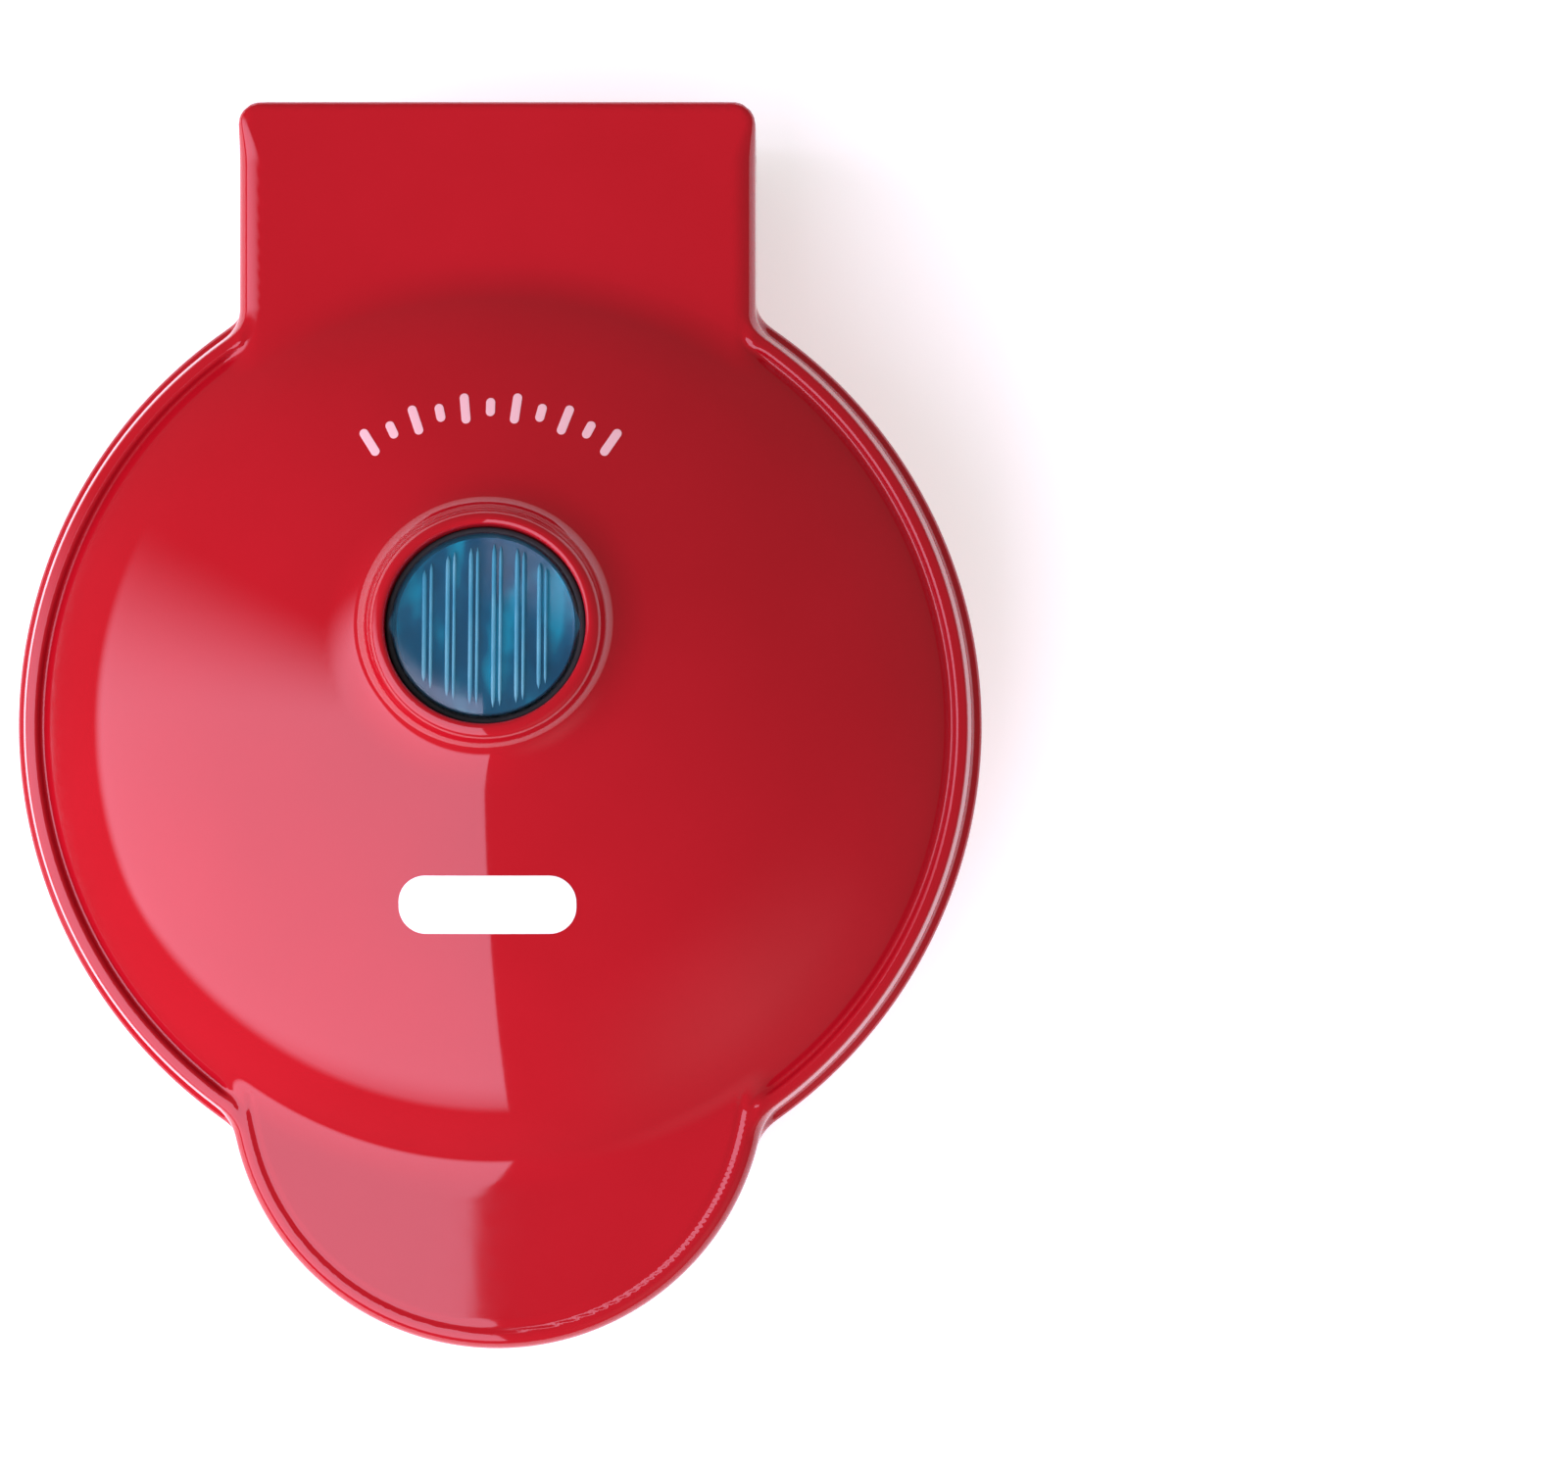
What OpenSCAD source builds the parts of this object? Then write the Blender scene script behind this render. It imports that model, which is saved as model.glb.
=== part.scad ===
// Small round waffle maker, shown closed and standing on its four feet.
// Origin: on the ground, under the centre of the round body. +Z is up,
// +Y points to the hinge and -Y to the handle. Millimetres.

/* [Body] */
// Radius of the rim at the parting line
rim_r = 63.5; // [62.5:0.1:64.5]
// Radius where the dome starts
dome_foot_r = 58.5; // [57.5:0.1:59]
// Radius of the dome's sphere
dome_sphere_r = 92; // [90:1:95]
// Height of the parting plane above the ground
part_z = 34.5; // [34:0.1:35]
// Height of each half's skirt, from the parting plane to the shoulder
skirt_h = 10.5; // [10.5:0.1:11]
// Half of the gap between the closed halves
half_gap = 0.2; // [0.15:0.01:0.25]
// Wall thickness of the mouldings
wall = 2.2; // [2:0.1:2.4]
// Radius of the flat bottom of the base
bottom_r = 44; // [42:1:46]
// Height of the base's underside above the ground
ground_gap = 4; // [3.5:0.1:4.5]

/* [Hinge block and handle] */
// Width of the hinge block
block_w = 67.4; // [66.8:0.2:68]
// Plan radius of the block's rear corners
block_corner_r = 3; // [2.6:0.1:3.4]
// Distance from the body's axis to the rear face, and to the handle's tip
reach = 81.3; // [81:0.1:81.6]
// Radius of the half-round handle
handle_r = 35; // [34:0.5:36]

/* [Hinge] */
// Radius of the hinge barrel
barrel_r = 3.2; // [3:0.1:3.2]
// Radius of the hinge pins
pin_r = 1.5; // [1.3:0.05:1.6]
// Radial clearance of the pins in the lid's knuckles
pin_clear = 0.06; // [0.03:0.01:0.1]

/* [Plates] */
// Radius of the plate's flange
plate_r = 54; // [53.5:0.1:54]
// Depth of the heart-shaped recess
recess_d = 7; // [6.5:0.1:7]
// Height of the pegs that press the pockets
peg_h = 5; // [4:0.1:5]
// Side of a peg
peg_w = 9.8; // [8:0.1:11]
// Distance from one peg to the next
peg_pitch = 15; // [14:0.5:16]
// Radius of the heart's lobes
lobe_r = 25.3; // [24:0.1:25.5]
// Half of the distance between the lobes' centres
lobe_x = 19.8; // [19:0.1:20]
// Length of the heart from its lobes to its tip
heart_len = 78; // [74:0.5:80]

/* [Indicator] */
// Distance of the indicator from the body's axis, toward the hinge
lens_y = 12.4; // [11:0.1:13]
// Radius of the indicator lens
lens_r = 11.7; // [11:0.1:11.7]
// Radius of the collar's opening
collar_r = 12.6; // [12.6:0.1:13]

/* [Hidden] */
$fn = 96;

shoulder_z = part_z + skirt_h;              // top of the lid's skirt
dome_c = shoulder_z - sqrt(dome_sphere_r * dome_sphere_r
  - dome_foot_r * dome_foot_r);             // height of the sphere's centre
low_z = part_z - skirt_h;                   // bottom of the base's skirt
lid_z = part_z + half_gap;                  // lid's lower face
base_z = part_z - half_gap;                 // base's upper face
floor_z = ground_gap + wall;                // inside floor of the base
ax_y = reach - barrel_r;                    // hinge axis
ax_z = part_z;
tilt = asin(lens_y / dome_sphere_r);        // lens leans with the dome
heart_y = 11;                               // lobes' centres
tip_y = heart_y + lobe_r - heart_len;
screw_xy = [[22, 66], [-22, 66], [14, -68.5], [-14, -68.5]];
post_a = [30, 150, 270];                    // plate posts, around the axis
post_rad = 42;
heater_rad = 36;
heater_end = 24;                            // degrees each side of +Y
gland_z = 13;
RED = [0.76, 0.09, 0.14];

function arc(cx, cz, r, a0, a1, n) =
  [for (i = [0:n]) let (a = a0 + (a1 - a0) * i / n)
    [cx + r * cos(a), cz + r * sin(a)]];
function foot_angle(r, x) = acos(x / r);
function polar(r, a) = [r * cos(a), r * sin(a)];

// ---------- outlines shared by the two halves ----------

// Hinge block in plan, drawn in by o, ending at y1
module block_2d(o, y1) {
  w = block_w / 2 - o;
  c = max(block_corner_r - o, 0.8);
  difference() {
    union() {
      translate([-w, 40]) square([2 * w, reach - o - c - 40]);
      translate([-w + c, 40]) square([2 * (w - c), reach - o - 40]);
      for (s = [-1, 1]) translate([s * (w - c), reach - o - c]) circle(r = c);
    }
    translate([-50, y1]) square([100, 60]);
  }
}

// Half-round handle in plan, drawn in by o
module handle_2d(o) {
  translate([0, -reach + handle_r]) circle(r = handle_r - o);
}

module heart_2d(o) {
  r = lobe_r - o;
  ty = tip_y + o * 1.35;
  d = norm([lobe_x, heart_y - ty]);
  l = sqrt(d * d - r * r);
  a = atan2(heart_y - ty, lobe_x) - asin(r / d);
  union() {
    for (s = [-1, 1]) translate([s * lobe_x, heart_y]) circle(r = r);
    polygon([[0, ty], [l * cos(a), ty + l * sin(a)], [lobe_x, heart_y],
      [0, heart_y + 1], [-lobe_x, heart_y], [-l * cos(a), ty + l * sin(a)]]);
    translate([-0.8 * lobe_x, heart_y - 20])
      square([1.6 * lobe_x, 20 + 0.9 * sqrt(r * r - lobe_x * lobe_x)]);
  }
}

// Cylinder along X, from x0 to x1
module x_cyl(r, x0, x1) {
  translate([x0, 0, 0]) rotate([0, 90, 0]) cylinder(r = r, h = x1 - x0);
}

function unit(v) = v / norm(v);
function heading(p, i) = i == 0 ? unit(p[1] - p[0])
  : i == len(p) - 1 ? unit(p[i] - p[i - 1])
  : unit(unit(p[i] - p[i - 1]) + unit(p[i + 1] - p[i]));

// Round wire swept through a list of points; ref is never along the wire
module run(p, r, ref) {
  n = 10;
  m = len(p);
  polyhedron(
    [for (i = [0:m - 1], k = [0:n - 1])
      let (t = heading(p, i), u = unit(cross(t, ref)), v = cross(t, u))
      p[i] + r * (u * cos(360 * k / n) + v * sin(360 * k / n))],
    concat([[for (k = [0:n - 1]) k]],
      [for (i = [0:m - 2], k = [0:n - 1]) let (j = (k + 1) % n)
        [i * n + k, (i + 1) * n + k, (i + 1) * n + j, i * n + j]],
      [[for (k = [n - 1:-1:0]) (m - 1) * n + k]]));
}

// Places a half's local frame: local 0 is its parting face, +z into the half
module lower() { translate([0, 0, base_z]) mirror([0, 0, 1]) children(); }
module upper() { translate([0, 0, lid_z]) children(); }

// Places a frame on the dome, its z axis square to the dome at the lens
module on_dome() {
  translate([0, 0, dome_c]) rotate([-tilt, 0, 0])
    translate([0, 0, dome_sphere_r]) children();
}

// ---------- parts that both halves have ----------

module liner_half(y1) {
  difference() {
    union() {
      rotate_extrude() polygon([[50.5, 3], [54.2, 3], [54.2, 0],
        [rim_r - wall - 0.2, 0], [rim_r - wall - 0.2, 2], [56.5, 2],
        [56.5, 5], [50.5, 5]]);
      linear_extrude(2) difference() {
        union() {
          handle_2d(wall + 0.2);
          block_2d(wall + 0.2, y1);
        }
        circle(r = 56);
      }
    }
    for (p = screw_xy) translate([p[0], p[1], -1])
      cylinder(r = 1.4, h = 4, $fn = 32);
  }
}

module plate_half() {
  difference() {
    union() {
      cylinder(r = plate_r, h = 3);
      cylinder(r = 50, h = 9.5);
      for (a = post_a) translate(polar(post_rad, a)) cylinder(r = 3, h = 14.3);
    }
    translate([0, 0, -1]) linear_extrude(recess_d + 1) heart_2d(0);
    for (a = post_a) translate([post_rad * cos(a), post_rad * sin(a), 10])
      cylinder(r = 1.3, h = 6, $fn = 32);
  }
  translate([0, 0, recess_d - peg_h]) linear_extrude(peg_h + 0.5)
    intersection() {
      heart_2d(3.2);
      union() for (i = [-3:3], j = [-3:3])
        translate([i * peg_pitch - peg_w / 2, j * peg_pitch - peg_w / 2])
          square([peg_w, peg_w]);
    }
}

module heater_half() {
  translate([0, 0, 11.75]) rotate([0, 0, 90 + heater_end])
    rotate_extrude(angle = 360 - 2 * heater_end, $fn = 128)
      translate([heater_rad, 0]) circle(r = 2.2, $fn = 48);
  for (s = [-1, 1]) translate([heater_rad * sin(s * (heater_end + 2)),
      heater_rad * cos(heater_end + 2), 0]) {
    translate([0, 0, 11.2]) cylinder(r = 1.4, h = 4.1, $fn = 48);
    translate([0, 0, 14]) cylinder(r = 0.9, h = 4.95, $fn = 48);
  }
}

module reflector_half(hole) {
  difference() {
    rotate_extrude() polygon([[50.3, 5], [55, 5], [55, 5.5], [50.8, 5.5],
      [50.8, 10.2], [41.8, 14.8], [0, 14.8], [0, 14.3], [41.6, 14.3],
      [50.3, 9.9]]);
    for (a = post_a) translate([post_rad * cos(a), post_rad * sin(a), 8])
      cylinder(r = 3.2, h = 6.3);
    for (a = post_a) translate([post_rad * cos(a), post_rad * sin(a), 8])
      cylinder(r = 1.6, h = 10, $fn = 32);
    for (s = [-1, 1]) translate([heater_rad * sin(s * (heater_end + 2)),
        heater_rad * cos(heater_end + 2), 12]) cylinder(r = 3, h = 6, $fn = 32);
    if (hole > 0) translate([0, -14, 12]) cylinder(r = hole, h = 6);
  }
  // flat washer pads round the plate's posts
  for (a = post_a) translate([post_rad * cos(a), post_rad * sin(a), 14.3])
    difference() {
      cylinder(r = 4.2, h = 0.5, $fn = 32);
      translate([0, 0, -1]) cylinder(r = 1.6, h = 3, $fn = 32);
    }
}

module plate_screws_half() {
  for (a = post_a) translate([post_rad * cos(a), post_rad * sin(a), 0])
    difference() {
      union() {
        translate([0, 0, 10.6]) cylinder(r = 1.25, h = 5, $fn = 32);
        translate([0, 0, 14.85]) cylinder(r = 2.7, h = 1.6, $fn = 32);
      }
      translate([-2, -0.3, 15.9]) cube([4, 0.6, 1]);
      translate([-0.3, -2, 15.9]) cube([0.6, 4, 1]);
    }
}

// Screw with a cross-slotted head; z = 0 is the head's outer face
module screw(head_r, head_h, shank_r, length) {
  difference() {
    union() {
      cylinder(r = head_r, h = head_h, $fn = 32);
      cylinder(r = shank_r, h = length, $fn = 32);
    }
    translate([-head_r * 0.7, -0.35, -0.1]) cube([head_r * 1.4, 0.7, 0.8]);
    translate([-0.35, -head_r * 0.7, -0.1]) cube([0.7, head_r * 1.4, 0.8]);
  }
}

// ---------- base ----------

module base_outer() {
  rotate_extrude() polygon(concat(
    [[0, ground_gap], [bottom_r, ground_gap]],
    [for (i = [1:10]) let (t = 9 * i)
      [bottom_r + (dome_foot_r - bottom_r) * sin(t),
       ground_gap + (low_z + 0.8 - ground_gap) * (1 - cos(t))]],
    [[rim_r - 3.5, low_z + 0.8], [rim_r - 3.1, low_z],
     [rim_r - 2.1, low_z], [rim_r - 1.2, low_z + 1], [rim_r - 0.6, low_z + 3],
     [rim_r, low_z + 8], [rim_r, base_z], [0, base_z]]));
  translate([0, 0, ground_gap]) linear_extrude(base_z - ground_gap)
    block_2d(0, 200);
  translate([0, 0, low_z]) linear_extrude(base_z - low_z) handle_2d(0);
}

module base_inner() {
  rotate_extrude() polygon(concat(
    [[0, floor_z], [bottom_r, floor_z]],
    [for (i = [1:10]) let (t = 9 * i)
      [bottom_r + (dome_foot_r - wall - bottom_r) * sin(t),
       floor_z + (low_z + 0.2 - floor_z) * (1 - cos(t))]],
    [[dome_foot_r - wall, low_z + 2.7], [rim_r - 3.5, low_z + 3],
     [rim_r - wall, low_z + 7], [rim_r - wall, base_z + 1], [0, base_z + 1]]));
  translate([0, 0, floor_z]) linear_extrude(base_z - floor_z + 1)
    block_2d(wall, 200);
  translate([0, 0, low_z + wall]) linear_extrude(base_z) handle_2d(wall);
}

foot_xy = [[25, 74], [-25, 74], [27, -27], [-27, -27]];

module base_shell() color(RED) {
  difference() {
    union() {
      difference() { base_outer(); base_inner(); }
      // posts under the liner
      for (p = screw_xy) {
        z0 = p[1] > 0 ? floor_z - 0.5 : low_z + wall - 0.5;
        translate([p[0], p[1], z0]) cylinder(r = 3.4, h = base_z - 2 - z0);
      }
      for (s = [-1, 1]) translate([s * 8.5, 71.5, floor_z - 0.5])
        cylinder(r = 2.6, h = 12.5 - floor_z + 0.5, $fn = 48);
    }
    // room for the hinge: the rear top edge is cut away
    translate([-50, ax_y - 5.2, ax_z - 5.5]) cube([100, 20, 20]);
    // screws from below
    for (p = screw_xy) {
      z0 = p[1] > 0 ? ground_gap : low_z;
      translate([p[0], p[1], z0 - 1]) cylinder(r = 1.45, h = 40, $fn = 32);
      translate([p[0], p[1], z0 - 1]) cylinder(r = 2.9, h = 2.6, $fn = 32);
    }
    for (s = [-1, 1]) translate([s * 8.5, 71.5, floor_z + 0.8])
      cylinder(r = 1.05, h = 10, $fn = 32);
    // seats of the feet
    for (p = foot_xy) translate([p[0], p[1], 0]) cylinder(r = 5.05, h = ground_gap + 1.2);
    // cord gland
    translate([0, reach + 1, gland_z]) rotate([90, 0, 0]) cylinder(r = 5, h = 6);
  }
  difference() {
    for (s = [-1, 1]) {
      translate([0, ax_y, ax_z]) x_cyl(barrel_r, s > 0 ? 19 : -31, s > 0 ? 31 : -19);
      translate([s > 0 ? 19 : -31, ax_y - barrel_r, ax_z - 12])
        cube([12, barrel_r + 1.2, 11]);
    }
    translate([0, ax_y, ax_z]) x_cyl(pin_r + 0.02, -40, 40);
  }
}

module base_liner() color(RED) lower() liner_half(ax_y - 5.5);

module lower_plate() color([0.16, 0.16, 0.17]) lower() plate_half();
module lower_heater() color([0.55, 0.53, 0.5]) lower() heater_half();
module lower_reflector() color([0.75, 0.75, 0.74]) lower() reflector_half(0);
module lower_reflector_screws() color([0.6, 0.6, 0.6]) lower() plate_screws_half();

module base_screws() color([0.35, 0.35, 0.36])
  for (p = screw_xy) {
    z0 = p[1] > 0 ? ground_gap : low_z;
    translate([p[0], p[1], z0 + 0.3])
      screw(2.7, 1.3, 1.4, base_z - 0.6 - z0 - 0.3);
  }

module foot_pads() color([0.13, 0.13, 0.14])
  for (p = foot_xy) translate([p[0], p[1], 0])
    rotate_extrude() polygon([[0, 0.4], [2.2, 0.4], [2.6, 0], [4, 0],
      [4.9, 0.9], [5, 2], [5, ground_gap + 1.2], [0, ground_gap + 1.2]]);

module hinge_pins() color([0.7, 0.7, 0.72])
  translate([0, ax_y, ax_z]) {
    x_cyl(pin_r, 7, 32.4);
    x_cyl(pin_r, -32.4, -7);
  }

module cord_gland() color([0.1, 0.1, 0.11])
  difference() {
    translate([0, reach, gland_z]) rotate([90, 0, 0]) union() {
      cylinder(r = 4.95, h = wall + 0.5);
      translate([0, 0, wall]) cylinder(r = 6.6, h = 2);
    }
    translate([0, reach + 1, gland_z]) rotate([90, 0, 0]) cylinder(r = 3.1, h = 8);
  }

module cord_clamp() color([0.85, 0.84, 0.8])
  difference() {
    translate([-11.2, 69.2, 12.5]) cube([22.4, 4.6, 5]);
    translate([0, 80, gland_z]) rotate([90, 0, 0]) cylinder(r = 3.1, h = 20);
    for (s = [-1, 1]) {
      translate([s * 8.5, 71.5, 12]) cylinder(r = 1.3, h = 8, $fn = 32);
    }
  }

module cord_clamp_screws() color([0.6, 0.6, 0.6])
  for (s = [-1, 1]) translate([s * 8.5, 71.5, 19])
    mirror([0, 0, 1]) screw(2.2, 1.5, 1, 10);

module terminal_block() color([0.93, 0.92, 0.88])
  difference() {
    translate([-12, 58.5, floor_z]) cube([24, 8, 9]);
    for (x = [-8, 0, 8]) translate([x, 62.5, floor_z + 4])
      cylinder(r = 1.7, h = 8, $fn = 32);
  }

module terminal_screws() color([0.7, 0.62, 0.35])
  for (x = [-8, 0, 8]) translate([x, 62.5, floor_z + 8.6])
    mirror([0, 0, 1]) cylinder(r = 1.6, h = 4.5, $fn = 32);

module thermal_fuse() color([0.8, 0.78, 0.7]) {
  translate([-15, 49, 11]) x_cyl(2, 0, 11);
  translate([-17, 49, 11]) x_cyl(0.5, 0, 15);
}

module base_wires() color([0.55, 0.2, 0.15]) {
  x1 = heater_rad * sin(heater_end + 2);
  y1 = heater_rad * cos(heater_end + 2);
  z1 = base_z - 19.15;
  run([[x1, y1, z1], [x1, y1, 11], [x1 - 3, 44, 9.5], [8, 58.1, 9.5]],
    0.8, [1, 0.3, 0]);
  run([[-x1, y1, z1], [-x1, y1, 12], [-22, 42, 11], [-20.5, 48, 11],
    [-17.5, 49, 11]], 0.8, [0.3, -1, 0]);
  run([[-1.4, 49, 11], [1.5, 51, 10.5], [1.5, 58.1, 9.5]], 0.8, [0, 0, 1]);
}

module hinge_lead_lower() color([0.12, 0.12, 0.13])
  run([[0, ax_y, ax_z], [-2, ax_y, ax_z], [-3.6, ax_y - 0.7, ax_z - 1.3],
    [-3.6, ax_y - 3.4, ax_z - 5.2], [-3.6, 69, 24], [-4, 63.5, 20],
    [-4, 62.5, 17.5], [-4, 62.5, floor_z + 9.1]], 1.5, [0, -1, 0.6]);

// ---------- lid ----------

module lid_outer() {
  rotate_extrude() polygon(concat(
    [[0, lid_z], [rim_r, lid_z], [rim_r, shoulder_z - 8],
     [rim_r - 0.6, shoulder_z - 3], [rim_r - 1.2, shoulder_z - 1],
     [rim_r - 2.1, shoulder_z], [rim_r - 3.1, shoulder_z],
     [rim_r - 3.5, shoulder_z - 0.8], [dome_foot_r, shoulder_z - 0.8]],
    arc(0, dome_c, dome_sphere_r, foot_angle(dome_sphere_r, dome_foot_r), 90, 16)));
  translate([0, 0, lid_z]) linear_extrude(shoulder_z - lid_z) block_2d(0, 200);
  translate([0, 0, lid_z]) linear_extrude(shoulder_z - lid_z) handle_2d(0);
}

module lid_inner() {
  r = dome_sphere_r - 2.4;
  rotate_extrude() polygon(concat(
    [[0, lid_z - 1], [rim_r - wall, lid_z - 1], [rim_r - wall, shoulder_z - 7],
     [rim_r - 3.5, shoulder_z - 3]],
    arc(0, dome_c, r, foot_angle(r, dome_foot_r - 0.5), 90, 16)));
  translate([0, 0, lid_z - 1]) linear_extrude(skirt_h + 1 - wall - half_gap) block_2d(wall, 200);
  translate([0, 0, lid_z - 1]) linear_extrude(skirt_h + 1 - wall - half_gap) handle_2d(wall);
}

module lid_shell() color(RED) {
  difference() {
    union() {
      difference() { lid_outer(); lid_inner(); }
      // collar round the indicator, and its seat under the dome
      on_dome() rotate_extrude() polygon([[12, -4.6], [16.6, -4.6],
        [17.4, -3], [17.2, -1.5], [15.8, -0.7], [14.9, 0.5], [14.4, 1.8],
        [14, 2.9], [13.4, 3.4], [12.9, 3.2], [12.6, 2.6], [12, 2.4]]);
      // posts over the liner
      for (p = screw_xy) translate([p[0], p[1], lid_z + 2])
        cylinder(r = 3.4, h = shoulder_z - wall - lid_z - 1.6);
    }
    on_dome() translate([0, 0, -8]) cylinder(r = collar_r, h = 20);
    for (p = screw_xy) translate([p[0], p[1], lid_z])
      cylinder(r = 1.25, h = 7.4, $fn = 32);
    // room for the hinge barrel: the rear lower edge is cut away
    translate([-50, ax_y - 3.6, 0]) cube([100, 20, ax_z + 3.6]);
  }
  difference() {
    intersection() {
      for (s = [-1, 1]) {
        translate([0, ax_y, ax_z]) x_cyl(barrel_r, s > 0 ? 6.6 : -18.7, s > 0 ? 18.7 : -6.6);
        translate([s > 0 ? 6.6 : -18.7, ax_y - 2.6, ax_z + 1.5])
          cube([12.1, 2.6 + barrel_r, skirt_h - 1.5 - wall + 0.5]);
        translate([0, ax_y, ax_z])
          x_cyl(barrel_r, s > 0 ? 31.3 : -40, s > 0 ? 40 : -31.3);
        translate([s > 0 ? 31.3 : -40, ax_y - barrel_r, ax_z + 1.5])
          cube([8.7, 2 * barrel_r, 4]);
      }
      translate([0, 0, 25]) linear_extrude(30) block_2d(0, 200);
    }
    translate([0, ax_y, ax_z]) x_cyl(pin_r + pin_clear, -32.6, 32.6);
  }
}

module lid_liner() color(RED) upper() difference() {
  liner_half(ax_y - 3.9);
  for (p = screw_xy) translate([p[0], p[1], -1]) cylinder(r = 2.8, h = 2.1, $fn = 32);
}

module upper_plate() color([0.16, 0.16, 0.17]) upper() plate_half();
module upper_heater() color([0.55, 0.53, 0.5]) upper() heater_half();
module upper_reflector() color([0.75, 0.75, 0.74]) upper() reflector_half(14.6);
module upper_reflector_screws() color([0.6, 0.6, 0.6]) upper() plate_screws_half();

module lid_screws() color([0.35, 0.35, 0.36])
  for (p = screw_xy) translate([p[0], p[1], lid_z + 0.05])
    screw(2.65, 1.05, 1.2, 6.9);

module lens() color([0.2, 0.5, 0.62]) on_dome() difference() {
  rotate_extrude() polygon(concat([[0, -6], [15.2, -6], [15.2, -4.6],
    [lens_r, -4.6], [lens_r, 2.2], [lens_r - 0.4, 2.7]],
    [for (i = [1:6]) let (t = 1 - i / 6)
      [(lens_r - 0.4) * t, 2.7 + 1.0 * (1 - t * t)]]));
  translate([0, 0, -7]) cylinder(r = 9.8, h = 8);
}

module lens_gasket() color([0.08, 0.08, 0.09]) on_dome() difference() {
  translate([0, 0, -4.6]) cylinder(r = collar_r - 0.05, h = 6.6);
  translate([0, 0, -6]) cylinder(r = lens_r + 0.05, h = 12);
}

module lamp_holder() color([0.92, 0.91, 0.88]) on_dome() difference() {
  translate([0, 0, -12.5]) cylinder(r = 12.4, h = 6.5);
  translate([0, 0, -11.3]) cylinder(r = 11.2, h = 8);
  for (s = [-1, 1]) translate([s * 1.3, 0, -14]) cylinder(r = 0.6, h = 4, $fn = 24);
}

module lamp() color([0.9, 0.95, 1]) on_dome() {
  translate([0, 0, -11.25]) cylinder(r = 2.9, h = 1, $fn = 48);
  translate([0, 0, -10.3]) cylinder(r = 2.5, h = 3.8, $fn = 48);
  translate([0, 0, -6.5]) sphere(r = 2.5, $fn = 48);
  for (s = [-1, 1]) translate([s * 1.3, 0, -13.2]) cylinder(r = 0.4, h = 2.4, $fn = 24);
}

module thermostat() color([0.85, 0.83, 0.78]) upper() translate([0, -14, 9.5]) {
  cylinder(r = 8.2, h = 4);
  cylinder(r = 6.8, h = 8);
  for (s = [-1, 1]) translate([s * 4 - 1.5, -0.4, 7.8]) cube([3, 0.8, 4]);
}

module thermostat_strap() color([0.7, 0.7, 0.7]) upper() translate([0, -14, 13.55])
  difference() {
    union() {
      translate([0, 0, 0]) cylinder(r = 8.2, h = 0.8);
      translate([-13.5, -3, 0]) cube([27, 6, 0.8]);
      for (s = [-1, 1]) translate([s * 12, 0, -4.05]) cylinder(r = 1.9, h = 4.5, $fn = 32);
    }
    translate([0, 0, -1]) cylinder(r = 6.9, h = 4);
    for (s = [-1, 1]) translate([s * 12, 0, -5]) cylinder(r = 1.1, h = 8, $fn = 32);
  }

module thermostat_screws() color([0.6, 0.6, 0.6]) upper() for (s = [-1, 1])
  translate([s * 12, -14, 16]) mirror([0, 0, 1]) screw(1.8, 1.6, 1, 6.4);

module lid_wires() color([0.55, 0.2, 0.15]) {
  x1 = heater_rad * sin(heater_end + 2);
  y1 = heater_rad * cos(heater_end + 2);
  z1 = lid_z + 19.15;
  run([[3.1, 60.9, 40.2], [3.1, 57, 41.2], [3.1, 53.5, 43.8], [3.1, 50.5, 46.4],
    [3.1, 46, 49.2], [-4, 42, 51], [-12, 36.5, 53.6], [-x1 + 0.3, y1 + 0.5, z1 + 1.1],
    [-x1, y1, z1]], 0.6, [1, 0.2, 1]);
  run([[4.9, 60.9, 40.2], [4.9, 57, 41.2], [4.9, 53.5, 43.8], [4.9, 50.5, 46.4],
    [4.9, 46, 49.2], [20, 38, 51.5], [24, 20, 56], [17, 2, 59], [6, -10, 60.3],
    [4, -14, 58.5], [4, -14, lid_z + 21.4]], 0.6, [1, 0.2, 0.3]);
  run([[x1, y1, z1], [x1 - 0.3, y1 - 0.4, z1 + 1.1], [0, 30, 55], [-15, 20, 56.5],
    [-16, 0, 58.5], [-6, -10, 60.3], [-4, -14, 58.5], [-4, -14, lid_z + 21.4]],
    0.6, [0.3, 1, 1.4]);
}

module hinge_lead_upper() color([0.12, 0.12, 0.13])
  run([[0, ax_y, ax_z], [2, ax_y, ax_z], [3.6, ax_y - 0.4, ax_z + 1.2],
    [4, ax_y - 2.2, ax_z + 4.4], [4, 72, 40], [4, 61, 40.2]],
    1.5, [0, -1, -0.6]);

// ---------- the assembly ----------

base_shell();
base_liner();
lower_plate();
lower_heater();
lower_reflector();
lower_reflector_screws();
base_screws();
foot_pads();
hinge_pins();
cord_gland();
cord_clamp();
cord_clamp_screws();
terminal_block();
terminal_screws();
thermal_fuse();
base_wires();
hinge_lead_lower();
lid_shell();
lid_liner();
upper_plate();
upper_heater();
upper_reflector();
upper_reflector_screws();
lid_screws();
lens();
lens_gasket();
lamp();
lamp_holder();
thermostat();
thermostat_strap();
thermostat_screws();
lid_wires();
hinge_lead_upper();
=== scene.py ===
import math
import bmesh
import bpy
import numpy as np
from mathutils import Vector, Matrix


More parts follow.
